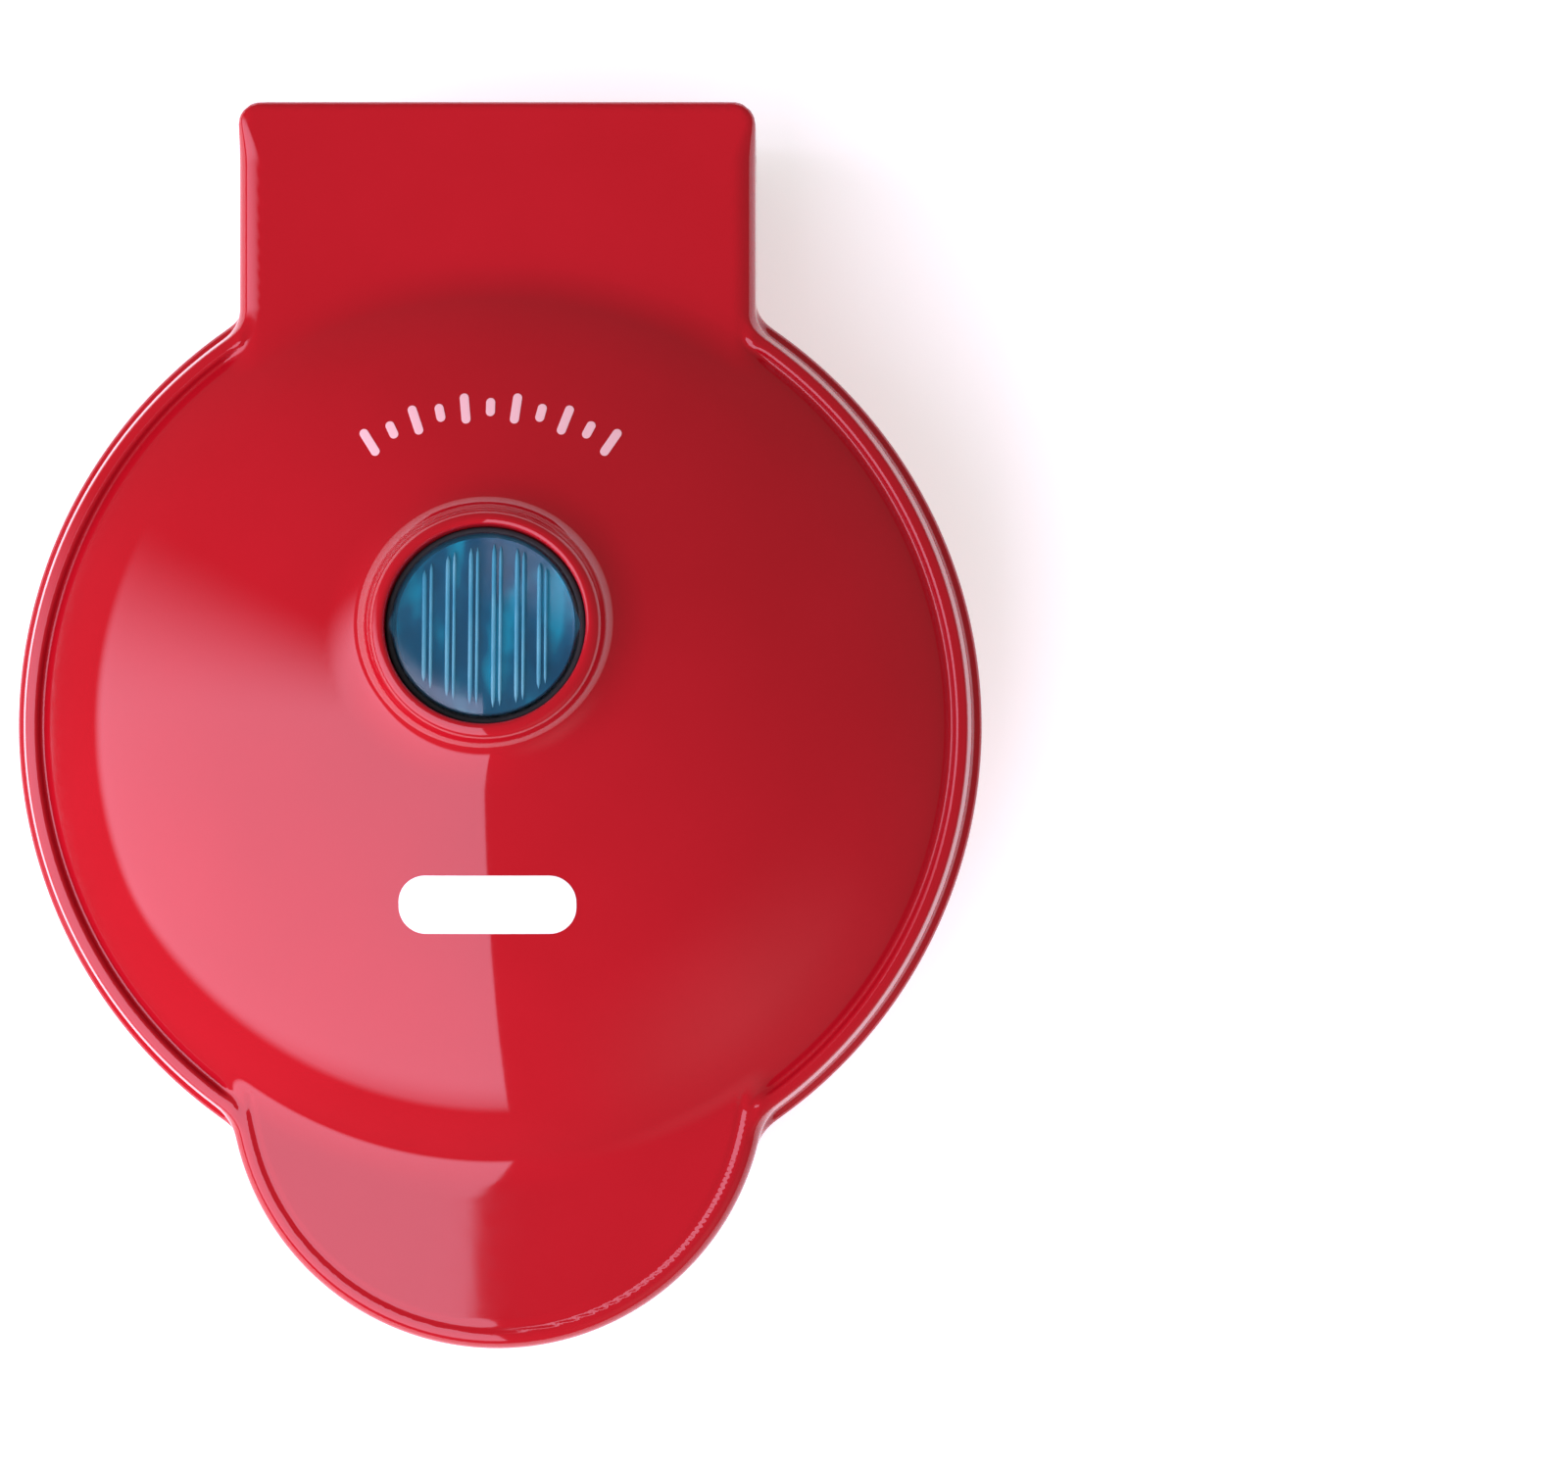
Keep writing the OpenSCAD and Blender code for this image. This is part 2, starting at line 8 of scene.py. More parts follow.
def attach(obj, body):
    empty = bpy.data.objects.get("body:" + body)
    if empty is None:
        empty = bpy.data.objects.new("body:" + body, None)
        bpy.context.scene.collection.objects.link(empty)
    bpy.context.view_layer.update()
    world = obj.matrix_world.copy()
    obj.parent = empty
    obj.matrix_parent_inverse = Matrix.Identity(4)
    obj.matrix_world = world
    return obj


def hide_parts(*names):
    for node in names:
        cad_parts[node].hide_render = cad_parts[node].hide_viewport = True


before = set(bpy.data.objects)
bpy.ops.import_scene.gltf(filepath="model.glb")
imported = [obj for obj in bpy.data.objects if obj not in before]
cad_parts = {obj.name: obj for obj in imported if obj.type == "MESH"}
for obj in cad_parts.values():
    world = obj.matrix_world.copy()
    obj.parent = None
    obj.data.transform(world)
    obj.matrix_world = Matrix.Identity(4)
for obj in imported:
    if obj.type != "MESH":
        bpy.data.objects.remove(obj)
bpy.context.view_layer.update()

scene = bpy.context.scene
MM = 0.001

# ------------------------------------------------------------------ sizes, mm
PART = 34.5
GAP = 0.2
R_DOME = 92.0
R_FOOT = 58.5
Z_SH = 45.0
Z_LOW = 24.0
RIM = 63.5
DC = Z_SH - math.sqrt(R_DOME ** 2 - R_FOOT ** 2)
REACH = 81.3
HANDLE = 35.0
BW = 33.7
AXY, AXZ = 78.1, 34.5
LENS_Y = 12.4
TILT = math.asin(LENS_Y / R_DOME)
AX_N = (0.0, math.sin(TILT), math.cos(TILT))
SCREWS = [(22, 66), (-22, 66), (14, -68.5), (-14, -68.5)]
FEET = [(25, 74), (-25, 74), (27, -27), (-27, -27)]


# ------------------------------------------------------- distance functions
def smin(a, b, k):
    h = np.maximum(k - np.abs(a - b), 0.0) / k
    return np.minimum(a, b) - h * h * k * 0.25


def smax(a, b, k):
    return -smin(-a, -b, k)


def round_max(a, b, r):
    """Intersection of two half spaces with a true radius r on their edge."""
    u, v = a + r, b + r
    return np.sqrt(np.maximum(u, 0) ** 2 + np.maximum(v, 0) ** 2) + np.minimum(np.maximum(u, v), 0) - r


def poly_sdf(pts, r, z):
    """Signed distance to a closed polygon in the (r, z) plane."""
    p = np.asarray(pts, float)
    q = np.roll(p, -1, 0)
    d = np.full(np.broadcast(r, z).shape, 1e9)
    inside = np.zeros(d.shape, bool)
    for (ax, ay), (bx, by) in zip(p, q):
        ex, ey = bx - ax, by - ay
        wx, wy = r - ax, z - ay
        t = np.clip((wx * ex + wy * ey) / (ex * ex + ey * ey + 1e-12), 0, 1)
        d = np.minimum(d, (wx - ex * t) ** 2 + (wy - ey * t) ** 2)
        crosses = ((ay <= z) & (by > z)) | ((by <= z) & (ay > z))
        if abs(ey) > 1e-12:
            inside ^= crosses & (r < ax + (z - ay) / ey * ex)
    d = np.sqrt(d)
    return np.where(inside, -d, d)


class Revolve:
    """A closed (r, z) outline turned about Z, read from a fine table of distances."""
    STEP = 0.1

    def __init__(self, pts, z0=-2.0, z1=76.0, r1=125.0):
        self.z0 = z0
        rt = np.arange(0, r1, self.STEP)
        zt = np.arange(z0, z1, self.STEP)
        self.tab = poly_sdf(pts, rt[:, None], zt[None, :])

    def __call__(self, r, z):
        a = r / self.STEP
        c = (z - self.z0) / self.STEP
        i = np.clip(a.astype(int), 0, self.tab.shape[0] - 2)
        j = np.clip(c.astype(int), 0, self.tab.shape[1] - 2)
        f, g = a - i, c - j
        t = self.tab
        lo = t[i, j] * (1 - g) + t[i, j + 1] * g
        hi = t[i + 1, j] * (1 - g) + t[i + 1, j + 1] * g
        return lo * (1 - f) + hi * f


def rounded_outline(pts, radii, n=6):
    """Closed outline with its corners rounded; pts and radii in order round the shape."""
    out = []
    m = len(pts)
    for i in range(m):
        a, b, c = (np.array(pts[j % m], float) for j in (i - 1, i, i + 1))
        r = radii[i]
        if r <= 0:
            out.append(tuple(b))
            continue
        u, v = (a - b) / np.linalg.norm(a - b), (c - b) / np.linalg.norm(c - b)
        ang = math.acos(np.clip(np.dot(u, v), -1, 1))
        if ang > math.pi - 0.02:
            out.append(tuple(b))
            continue
        t = min(r / math.tan(ang / 2), 0.49 * np.linalg.norm(a - b), 0.49 * np.linalg.norm(c - b))
        r = t * math.tan(ang / 2)
        ctr = b + (u + v) / np.linalg.norm(u + v) * (r / math.sin(ang / 2))
        p0, p1 = b + u * t, b + v * t
        a0 = math.atan2(*(p0 - ctr)[::-1])
        a1 = math.atan2(*(p1 - ctr)[::-1])
        da = (a1 - a0 + math.pi) % (2 * math.pi) - math.pi
        for k in range(n + 1):
            w = a0 + da * k / n
            out.append((ctr[0] + r * math.cos(w), ctr[1] + r * math.sin(w)))
    return out


def box_sdf(x, y, z, lo, hi, r=0.0):
    c = [(a + b) / 2 for a, b in zip(lo, hi)]
    s = [(b - a) / 2 - r for a, b in zip(lo, hi)]
    dx, dy, dz = np.abs(x - c[0]) - s[0], np.abs(y - c[1]) - s[1], np.abs(z - c[2]) - s[2]
    out = np.sqrt(np.maximum(dx, 0) ** 2 + np.maximum(dy, 0) ** 2 + np.maximum(dz, 0) ** 2)
    return out + np.minimum(np.maximum(dx, np.maximum(dy, dz)), 0) - r


def xcyl(x, y, z, r, x0, x1, edge=0.3):
    d = np.sqrt((y - AXY) ** 2 + (z - AXZ) ** 2) - r
    return round_max(d, np.abs(x - (x0 + x1) / 2) - (x1 - x0) / 2, edge)


def zcyl(x, y, z, cx, cy, r, z0, z1, edge=0.2):
    d = np.sqrt((x - cx) ** 2 + (y - cy) ** 2) - r
    return round_max(d, np.abs(z - (z0 + z1) / 2) - (z1 - z0) / 2, edge)


def block_plan(x, y, corner=3.0, o=0.0):
    """Plan outline of the hinge block; open toward the body."""
    dx = np.abs(x) - (BW - o - corner)
    dy = (y - (REACH - 0.04 - o - corner))
    return np.sqrt(np.maximum(dx, 0) ** 2 + np.maximum(dy, 0) ** 2) + np.minimum(np.maximum(dx, dy), 0) - corner


def block_edge(y):
    """Radius of the block's upper edges: soft along the sides, tighter at the rear."""
    t = np.clip((REACH - 1.0 - y) / 7.0, 0, 1)
    return 1.1 + (3.0 - 1.1) * t * t * (3 - 2 * t)


def extrude_round(dxy, dz, r):
    u, v = dxy + r, dz + r
    return np.sqrt(np.maximum(u, 0) ** 2 + np.maximum(v, 0) ** 2) + np.minimum(np.maximum(u, v), 0) - r


def lens_frame(x, y, z):
    """Distance from the lens's axis, and height over the dome's crown there."""
    w = z - DC
    h = y * AX_N[1] + w * AX_N[2]
    v = y * AX_N[2] - w * AX_N[1]
    return np.sqrt(x * x + v * v), h - R_DOME, v


# (r, height over the parting plane) of the lid's rim lip, wall and bead
LID_RIM = Revolve(rounded_outline(
    [(40.0, PART - 8.0), (RIM, PART - 8.0), (RIM, PART + 2.7), (62.1, PART + 3.7), (61.9, PART + 7.8),
     (61.3, PART + 9.95), (59.8, PART + 10.5), (58.9, PART + 8.4), (40.0, PART + 8.4)],
    [0, 0, 1.0, 1.2, 1.4, 0.6, 0.55, 0, 0], 8))


def ease(t):
    t = np.clip(t, 0, 1)
    return t * t * (3 - 2 * t)


def lid_solid(x, y, z):
    r = np.sqrt(x * x + y * y)
    dome = np.sqrt(r * r + (z - DC) ** 2) - R_DOME + 0.46 * ease((r - 49.0) / 10.5)
    dome = np.maximum(dome, r - 60.6)
    dome = np.maximum(dome, DC + 55 - z)
    hr = np.sqrt(x * x + (y + REACH - HANDLE) ** 2) - HANDLE
    plan = np.minimum(hr, np.maximum(block_plan(x, y), 44.0 - y))
    # the bead runs out under the handle and the hinge block
    body = smin(dome, LID_RIM(r, z + 1.5 * ease((-plan - 0.2) / 2.6)), 0.7)
    blk = extrude_round(block_plan(x, y), z - Z_SH, block_edge(y))
    blk = np.maximum(blk, 44.0 - y)
    body = smin(body, blk, 2.2)
    hdl = extrude_round(hr, z - Z_SH, 2.6)
    # a fine line just inside the handle's rolled edge
    line = np.sqrt((hr + 3.0) ** 2 + (z - Z_SH - 0.80) ** 2) - 0.92
    hdl = smax(hdl, -line, 0.35)
    return smin(body, hdl, 2.0)


def lid_sdf(x, y, z):
    out = lid_solid(x, y, z)
    inner = out + 2.15
    rho, h, _ = lens_frame(x, y, z)
    collar = round_max(rho - 14.0, h - 2.86, 0.9)
    collar = np.maximum(collar, -4.5 - h)
    out = smin(out, collar, 6.5)
    d = smax(out, -inner, 0.4)
    d = np.where((rho < 17.0) & (h > -6) & (h < 6), smin(d, smax(collar, -4.5 - h, 0.4), 0.3), d)
    d = smax(d, -round_max(rho - 12.6, -20 - h, 0.1), 0.7)
    d = smax(d, PART + GAP - z, 0.45)
    cut = box_sdf(x, y, z, (-60, AXY - 3.6, 0), (60, 100, AXZ + 3.6), 0.0)
    d = smax(d, -cut, 0.5)
    for s in (-1, 1):
        a, b = (6.6, 18.7) if s > 0 else (-18.7, -6.6)
        k = smin(xcyl(x, y, z, 3.2, a, b), box_sdf(x, y, z, (a, AXY - 2.6, AXZ + 1.5), (b, AXY + 3.1, 43.5), 0.2), 0.6)
        d = smin(d, k, 0.3)
        a, b = (31.3, 33.7) if s > 0 else (-33.7, -31.3)
        k = smin(xcyl(x, y, z, 3.2, a, b), box_sdf(x, y, z, (a, AXY - 3.1, AXZ + 1.5), (b, AXY + 3.1, 40.5), 0.2), 0.6)
        k = smax(k, block_plan(x, y), 0.4)
        d = smin(d, k, 0.3)
    return d


_p = [(-20.0, 4.0), (44.0, 4.0)]
_r = [0, 4.0]
for _i in range(1, 15):
    _t = math.radians(90 * _i / 14)
    _p.append((44.0 + 14.5 * math.sin(_t), 4.0 + 20.8 * (1 - math.cos(_t))))
    _r.append(0)
_p += [(58.9, 25.6), (59.9, 24.0), (61.0, 24.0), (61.8, 25.9), (62.1, 30.8), (RIM, 31.8), (RIM, 41.0), (-20.0, 41.0)]
_r += [0.5, 0.8, 0.9, 1.4, 1.2, 1.0, 0, 0]
BASE_BODY = Revolve(rounded_outline(_p, _r, 8))


def base_solid(x, y, z):
    r = np.sqrt(x * x + y * y)
    body = BASE_BODY(r, z)
    blk = extrude_round(block_plan(x, y), 4.0 - z, 2.2)
    blk = np.maximum(blk, 44.0 - y)
    body = smin(body, blk, 1.6)
    hr = np.sqrt(x * x + (y + REACH - HANDLE) ** 2) - HANDLE
    hdl = extrude_round(hr, Z_LOW - z, 2.6)
    return smin(body, hdl, 1.6)


def base_sdf(x, y, z):
    out = base_solid(x, y, z)
    d = smax(out, -(out + 2.15), 0.4)
    for cx, cy in SCREWS:
        z0 = 5.5 if cy > 0 else 25.5
        d = smin(d, zcyl(x, y, z, cx, cy, 3.4, z0, 32.0), 0.8)
    d = smax(d, z - (PART - GAP), 0.45)
    d = smax(d, -box_sdf(x, y, z, (-60, AXY - 5.2, AXZ - 5.5), (60, 100, 60), 0.0), 0.5)
    for cx, cy in SCREWS:
        z0 = 4.0 if cy > 0 else Z_LOW
        d = smax(d, -zcyl(x, y, z, cx, cy, 2.9, z0 - 3, z0 + 1.6, 0.1), 0.3)
    for cx, cy in FEET:
        d = smax(d, -zcyl(x, y, z, cx, cy, 5.15, 0, 5.2, 0.1), 0.3)
    g = np.sqrt(x * x + (z - 13.0) ** 2) - 5.05
    d = smax(d, -np.maximum(g, 76.0 - y), 0.3)
    for s in (-1, 1):
        a, b = (19.0, 31.0) if s > 0 else (-31.0, -19.0)
        k = smin(xcyl(x, y, z, 3.2, a, b), box_sdf(x, y, z, (a, AXY - 3.1, AXZ - 12), (b, AXY + 1.2, AXZ - 1), 0.2), 0.6)
        d = smin(d, k, 0.3)
    return d


# ------------------------------------------------------------ surface nets
def spaced(*runs):
    k = 1.0
    out = [np.linspace(a, b, max(2, int(round((b - a) / (h * k))) + 1))[:-1] for a, b, h in runs]
    return np.concatenate(out + [[runs[-1][1]]])


def turned(shift=0.0, a0=18.0, a1=54.0):
    """Map (rho, theta, z) to (x, y, z): rings about the lens near it and about Z outside."""
    def m(rho, th, z):
        c = shift * (1 - ease((rho - a0) / (a1 - a0)))
        return rho * np.cos(th), c + rho * np.sin(th), z + 0 * th
    return m


def nets(f, axes, where, steps=3, lim=0.45):
    """Closed skin of f < 0 on a turned grid: axes are rho, theta (one full turn) and z."""
    ra, ta, za = axes
    ta = np.concatenate([ta, [ta[0] + 2 * math.pi, ta[1] + 2 * math.pi]])
    nt = len(ta) - 2
    shape = (len(ra), len(ta), len(za))
    D = np.empty(shape, np.float32)
    for j in range(0, shape[1], 40):
        D[:, j:j + 40] = f(*where(ra[:, None, None], ta[None, j:j + 40, None], za[None, None, :]))
    S = D < 0
    cnt = np.zeros(tuple(n - 1 for n in shape), np.int8)
    for i in (0, 1):
        for j in (0, 1):
            for k in (0, 1):
                cnt += S[i:i + cnt.shape[0], j:j + cnt.shape[1], k:k + cnt.shape[2]]
    mixed = (cnt > 0) & (cnt < 8)
    mixed[:, nt] = False
    I, J, K = np.nonzero(mixed)
    idx = np.full(mixed.shape, -1, np.int64)
    idx[I, J, K] = np.arange(len(I))
    idx[:, nt] = idx[:, 0]
    P = np.zeros((len(I), 3))
    W = np.zeros(len(I))
    for axis in range(3):
        for u in (0, 1):
            for v in (0, 1):
                o = [0, 0, 0]
                others = [a for a in range(3) if a != axis]
                o[others[0]], o[others[1]] = u, v
                e = list(o)
                e[axis] = 1
                d0 = D[I + o[0], J + o[1], K + o[2]].astype(float)
                d1 = D[I + e[0], J + e[1], K + e[2]].astype(float)
                c = (d0 < 0) != (d1 < 0)
                t = np.where(c, d0 / np.where(c, d0 - d1, 1), 0)
                p = np.zeros((len(I), 3)) + np.array(o, float)
                p[:, axis] = t
                P += np.where(c[:, None], p, 0)
                W += c
    P = P / W[:, None] + np.stack([I, J, K], 1)
    P = np.stack([np.interp(P[:, a], np.arange(len(g)), g) for a, g in enumerate((ra, ta, za))], 1)
    P = np.stack(np.broadcast_arrays(*where(*P.T)), 1)
    quads = []
    for axis in range(3):
        b, c = [a for a in range(3) if a != axis]
        sl0 = [slice(1, -1)] * 3
        sl1 = [slice(1, -1)] * 3
        sl0[axis] = slice(0, -1)
        sl1[axis] = slice(1, None)
        E = np.stack(np.nonzero(S[tuple(sl0)] != S[tuple(sl1)]), 1)
        off = np.array([1, 1, 1])
        off[axis] = 0
        E = E + off
        if axis == 1:
            E = E[E[:, 1] < nt]
        first_in = S[E[:, 0], E[:, 1], E[:, 2]]
        ring = []
        for ub, uc in ((-1, -1), (0, -1), (0, 0), (-1, 0)):
            q = E.copy()
            q[:, b] += ub
            q[:, c] += uc
            ring.append(idx[q[:, 0], q[:, 1], q[:, 2]])
        q = np.stack(ring, 1)
        flip = first_in if axis != 1 else ~first_in
        quads.append(np.where(flip[:, None], q, q[:, ::-1]))
    Q = np.concatenate(quads)
    Q = Q[(Q >= 0).all(1)]

    def grad(p, e):
        g = np.empty_like(p)
        for a in range(3):
            d = np.zeros(3)
            d[a] = e
            g[:, a] = f(*(p + d).T) - f(*(p - d).T)
        return g / (2 * e)

    start = P.copy()
    for _ in range(steps):
        g = grad(P, 0.06)
        n2 = np.maximum((g * g).sum(1), 0.25)
        P = P - g * (f(*P.T) / n2)[:, None]
        move = P - start
        m = np.linalg.norm(move, axis=1)
        P = start + move * np.minimum(1, lim / np.maximum(m, 1e-9))[:, None]
    N = grad(P, 0.12)
    N /= np.maximum(np.linalg.norm(N, axis=1), 1e-9)[:, None]
    # close the small hole left round the grid's axis with fans of quads
    fans = []
    for k in range(idx.shape[2] if ra[0] < 3 else 0):
        col = idx[0, :nt, k]
        if (col >= 0).all() and nt % 2 == 0:
            c = len(P)
            P = np.vstack([P, P[col].mean(0)])
            n = N[col].mean(0)
            N = np.vstack([N, n / np.linalg.norm(n)])
            a, b, d = col[0::2], col[1::2], np.roll(col, -1)[1::2]
            q = np.stack([np.full(len(a), c), a, b, d], 1)
            fans.append(q if n[2] > 0 else q[:, ::-1])
    if fans:
        Q = np.concatenate([Q] + fans)
    return P, Q, N


def turn_lines(handle=0.5, block=0.75, rest=1.25):
    """Angles of one turn, closer together over the handle and the hinge block."""
    a = spaced((-124, -56, handle), (-56, 56, rest), (56, 124, block), (124, 236, rest))[:-1]
    if len(a) % 2:
        a = np.delete(a, len(a) // 2)
    return np.radians(a)


def mesh_piece(name, verts, faces, normals=None, body="lid", replaces=(), mat=None):
    """verts in mm; faces an (n, k) array."""
    me = bpy.data.meshes.new(name)
    v = np.asarray(verts, float) * MM
    f = np.asarray(faces)
    n, k = f.shape
    me.vertices.add(len(v))
    me.vertices.foreach_set("co", v.astype(np.float32).ravel())
    me.loops.add(n * k)
    me.loops.foreach_set("vertex_index", f.astype(np.int32).ravel())
    me.polygons.add(n)
    me.polygons.foreach_set("loop_start", np.arange(0, n * k, k, dtype=np.int32))
    me.update(calc_edges=True)
    me.validate()
    me.polygons.foreach_set("use_smooth", np.ones(len(me.polygons), bool))
    if normals is not None:
        me.normals_split_custom_set_from_vertices([tuple(a) for a in normals])
    me.update()
    o = bpy.data.objects.new(name, me)
    scene.collection.objects.link(o)
    if mat:
        me.materials.append(mat)
    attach(o, body)
    if replaces:
        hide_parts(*replaces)
    return o


# ---------------------------------------------------------------- materials
def material(name):
    m = bpy.data.materials.new(name)
    m.use_nodes = True
    nt = m.node_tree
    b = nt.nodes["Principled BSDF"]
    return m, nt, b


def tex_coords(nt, scale):
    """Object coordinates in metres times scale."""
    tc = nt.nodes.new("ShaderNodeTexCoord")
    mp = nt.nodes.new("ShaderNodeMapping")
    mp.inputs["Scale"].default_value = (scale,) * 3 if not hasattr(scale, "__len__") else scale
    nt.links.new(tc.outputs["Object"], mp.inputs["Vector"])
    return mp.outputs["Vector"]


def noise(nt, vec, scale, detail=3.0, rough=0.5):
    n = nt.nodes.new("ShaderNodeTexNoise")
    n.inputs["Scale"].default_value = scale
    n.inputs["Detail"].default_value = detail
    n.inputs["Roughness"].default_value = rough
    nt.links.new(vec, n.inputs["Vector"])
    return n.outputs["Fac"]


def ramp(nt, fac, stops):
    r = nt.nodes.new("ShaderNodeValToRGB")
    els = r.color_ramp.elements
    while len(els) < len(stops):
        els.new(0.5)
    for e, (p, c) in zip(els, stops):
        e.position = p
        e.color = c if len(c) == 4 else (*c, 1)
    nt.links.new(fac, r.inputs["Fac"])
    return r.outputs["Color"]


def scalar_ramp(nt, fac, lo, hi):
    m = nt.nodes.new("ShaderNodeMapRange")
    m.inputs["From Min"].default_value = 0.3
    m.inputs["From Max"].default_value = 0.7
    m.inputs["To Min"].default_value = lo
    m.inputs["To Max"].default_value = hi
    nt.links.new(fac, m.inputs["Value"])
    return m.outputs["Result"]


def bump(nt, b, height, strength, distance, prev=None):
    n = nt.nodes.new("ShaderNodeBump")
    n.inputs["Strength"].default_value = strength
    n.inputs["Distance"].default_value = distance
    nt.links.new(height, n.inputs["Height"])
    if prev is not None:
        nt.links.new(prev, n.inputs["Normal"])
    if b is not None:
        nt.links.new(n.outputs["Normal"], b.inputs["Normal"])
    return n.outputs["Normal"]


def plastic(name, base, dark, rough=(0.13, 0.2), peel=0.05, grain=0.0, coat=0.0, spec=0.5):
    m, nt, b = material(name)
    v = tex_coords(nt, 1.0)
    nt.links.new(ramp(nt, noise(nt, v, 38, 4, 0.55), [(0.3, dark), (0.7, base)]), b.inputs["Base Color"])
    nt.links.new(scalar_ramp(nt, noise(nt, v, 900, 3, 0.6), *rough), b.inputs["Roughness"])
    n = bump(nt, None, noise(nt, v, 220, 2, 0.4), peel, 0.0002)
    if grain:
        n = bump(nt, None, noise(nt, v, 5200, 2, 0.6), grain, 0.00005, n)
    nt.links.new(n, b.inputs["Normal"])
    b.inputs["Specular IOR Level"].default_value = spec
    if coat:
        b.inputs["Coat Weight"].default_value = coat
        b.inputs["Coat Roughness"].default_value = 0.05
    return m


M_RED = plastic("red_gloss", (0.400, 0.0045, 0.0120), (0.375, 0.0038, 0.0100), rough=(0.03, 0.048), peel=0.006)
M_RED_IN = plastic("red_inner", (0.50, 0.012, 0.022), (0.465, 0.010, 0.019), rough=(0.27, 0.36), peel=0.03, grain=0.15)
M_BLACK = plastic("black_rubber", (0.016, 0.016, 0.018), (0.010, 0.010, 0.011), rough=(0.55, 0.75), peel=0.06, grain=0.5)
M_CREAM = plastic("cream_plastic", (0.78, 0.74, 0.66), (0.72, 0.68, 0.60), rough=(0.4, 0.55), peel=0.05, grain=0.2)
M_CERAMIC = plastic("glazed_ceramic", (0.76, 0.73, 0.65), (0.66, 0.62, 0.54), rough=(0.22, 0.32), peel=0.08)
M_WIRE = plastic("braided_sleeve", (0.30, 0.07, 0.05), (0.20, 0.04, 0.03), rough=(0.6, 0.8), peel=0.2, grain=0.7)
M_LEAD = plastic("black_sleeve", (0.02, 0.02, 0.022), (0.012, 0.012, 0.013), rough=(0.55, 0.7), peel=0.2, grain=0.7)


def metal(name, base, dark, rough, scratch=0.08, aniso=None):
    m, nt, b = material(name)
    b.inputs["Metallic"].default_value = 1.0
    v = tex_coords(nt, 1.0)
    nt.links.new(ramp(nt, noise(nt, v, 120, 5, 0.6), [(0.3, dark), (0.7, base)]), b.inputs["Base Color"])
    nt.links.new(scalar_ramp(nt, noise(nt, v, 700, 4, 0.65), *rough), b.inputs["Roughness"])
    s = tex_coords(nt, aniso or (1.0, 14.0, 14.0))
    bump(nt, b, noise(nt, s, 900, 2, 0.5), scratch, 0.00003)
    return m


M_SCREW = metal("zinc_plate", (0.62, 0.62, 0.60), (0.48, 0.48, 0.47), (0.22, 0.36))
M_PIN = metal("ground_steel", (0.66, 0.66, 0.67), (0.56, 0.56, 0.57), (0.12, 0.22))
M_SHEET = metal("sheet_steel", (0.66, 0.66, 0.64), (0.55, 0.55, 0.53), (0.28, 0.42))
M_TUBE = metal("oxidised_tube", (0.26, 0.25, 0.23), (0.13, 0.12, 0.11), (0.45, 0.65))
M_BRASS = metal("plain_brass", (0.72, 0.52, 0.22), (0.58, 0.40, 0.16), (0.25, 0.38))


def nonstick():
    m, nt, b = material("nonstick_coat")
    v = tex_coords(nt, 1.0)
    nt.links.new(ramp(nt, noise(nt, v, 60, 5, 0.6), [(0.3, (0.020, 0.020, 0.021)), (0.7, (0.034, 0.033, 0.033))]),
                 b.inputs["Base Color"])
    nt.links.new(scalar_ramp(nt, noise(nt, v, 1800, 4, 0.6), 0.30, 0.46), b.inputs["Roughness"])
    n = bump(nt, None, noise(nt, v, 2600, 3, 0.6), 0.35, 0.00006)
    n = bump(nt, None, noise(nt, v, 260, 3, 0.5), 0.12, 0.0003, n)
    nt.links.new(n, b.inputs["Normal"])
    b.inputs["Coat Weight"].default_value = 0.25
    b.inputs["Coat Roughness"].default_value = 0.28
    return m


M_PLATE = nonstick()


def lens_material():
    m, nt, b = material("lens_blue")
    v = tex_coords(nt, 1.0)
    nt.links.new(ramp(nt, noise(nt, v, 160, 3, 0.5), [(0.3, (0.01, 0.12, 0.20)), (0.7, (0.03, 0.18, 0.28))]),
                 b.inputs["Base Color"])
    nt.links.new(scalar_ramp(nt, noise(nt, v, 1100, 2, 0.5), 0.03, 0.06), b.inputs["Roughness"])
    b.inputs["Alpha"].default_value = 0.2
    b.inputs["Specular IOR Level"].default_value = 1.0
    b.inputs["Coat Weight"].default_value = 1.0
    b.inputs["Coat Roughness"].default_value = 0.03
    return m


M_LENS = lens_material()
M_LENS_BACK, _nt, _b = material("lens_back")
_v = tex_coords(_nt, (1.0, 0.45, 1.0))
_nt.links.new(ramp(_nt, noise(_nt, _v, 210, 2, 0.5),
                   [(0.40, (0.0, 0.030, 0.090)), (0.53, (0.0, 0.085, 0.17)), (0.66, (0.0, 0.36, 0.50))]),
              _b.inputs["Base Color"])
_nt.links.new(scalar_ramp(_nt, noise(_nt, _v, 900, 2), 0.12, 0.25), _b.inputs["Roughness"])
# pale cyan for the rib bars: painted highlight standing in for the light that the edges of the lens ribs catch
M_RIB_GLINT, _nt, _b = material("lens_rib_glint")
_v = tex_coords(_nt, (1.0, 0.3, 1.0))
_nt.links.new(ramp(_nt, noise(_nt, _v, 300, 2, 0.5), [(0.35, (0.10, 0.52, 0.72)), (0.65, (0.30, 0.80, 0.95))]),
              _b.inputs["Base Color"])
_nt.links.new(scalar_ramp(_nt, noise(_nt, _v, 900, 2), 0.1, 0.22), _b.inputs["Roughness"])
_b.inputs["Coat Weight"].default_value = 0.5
_b.inputs["Coat Roughness"].default_value = 0.06
M_LAMP, _nt, _b = material("lamp_clear")
_v = tex_coords(_nt, 1.0)
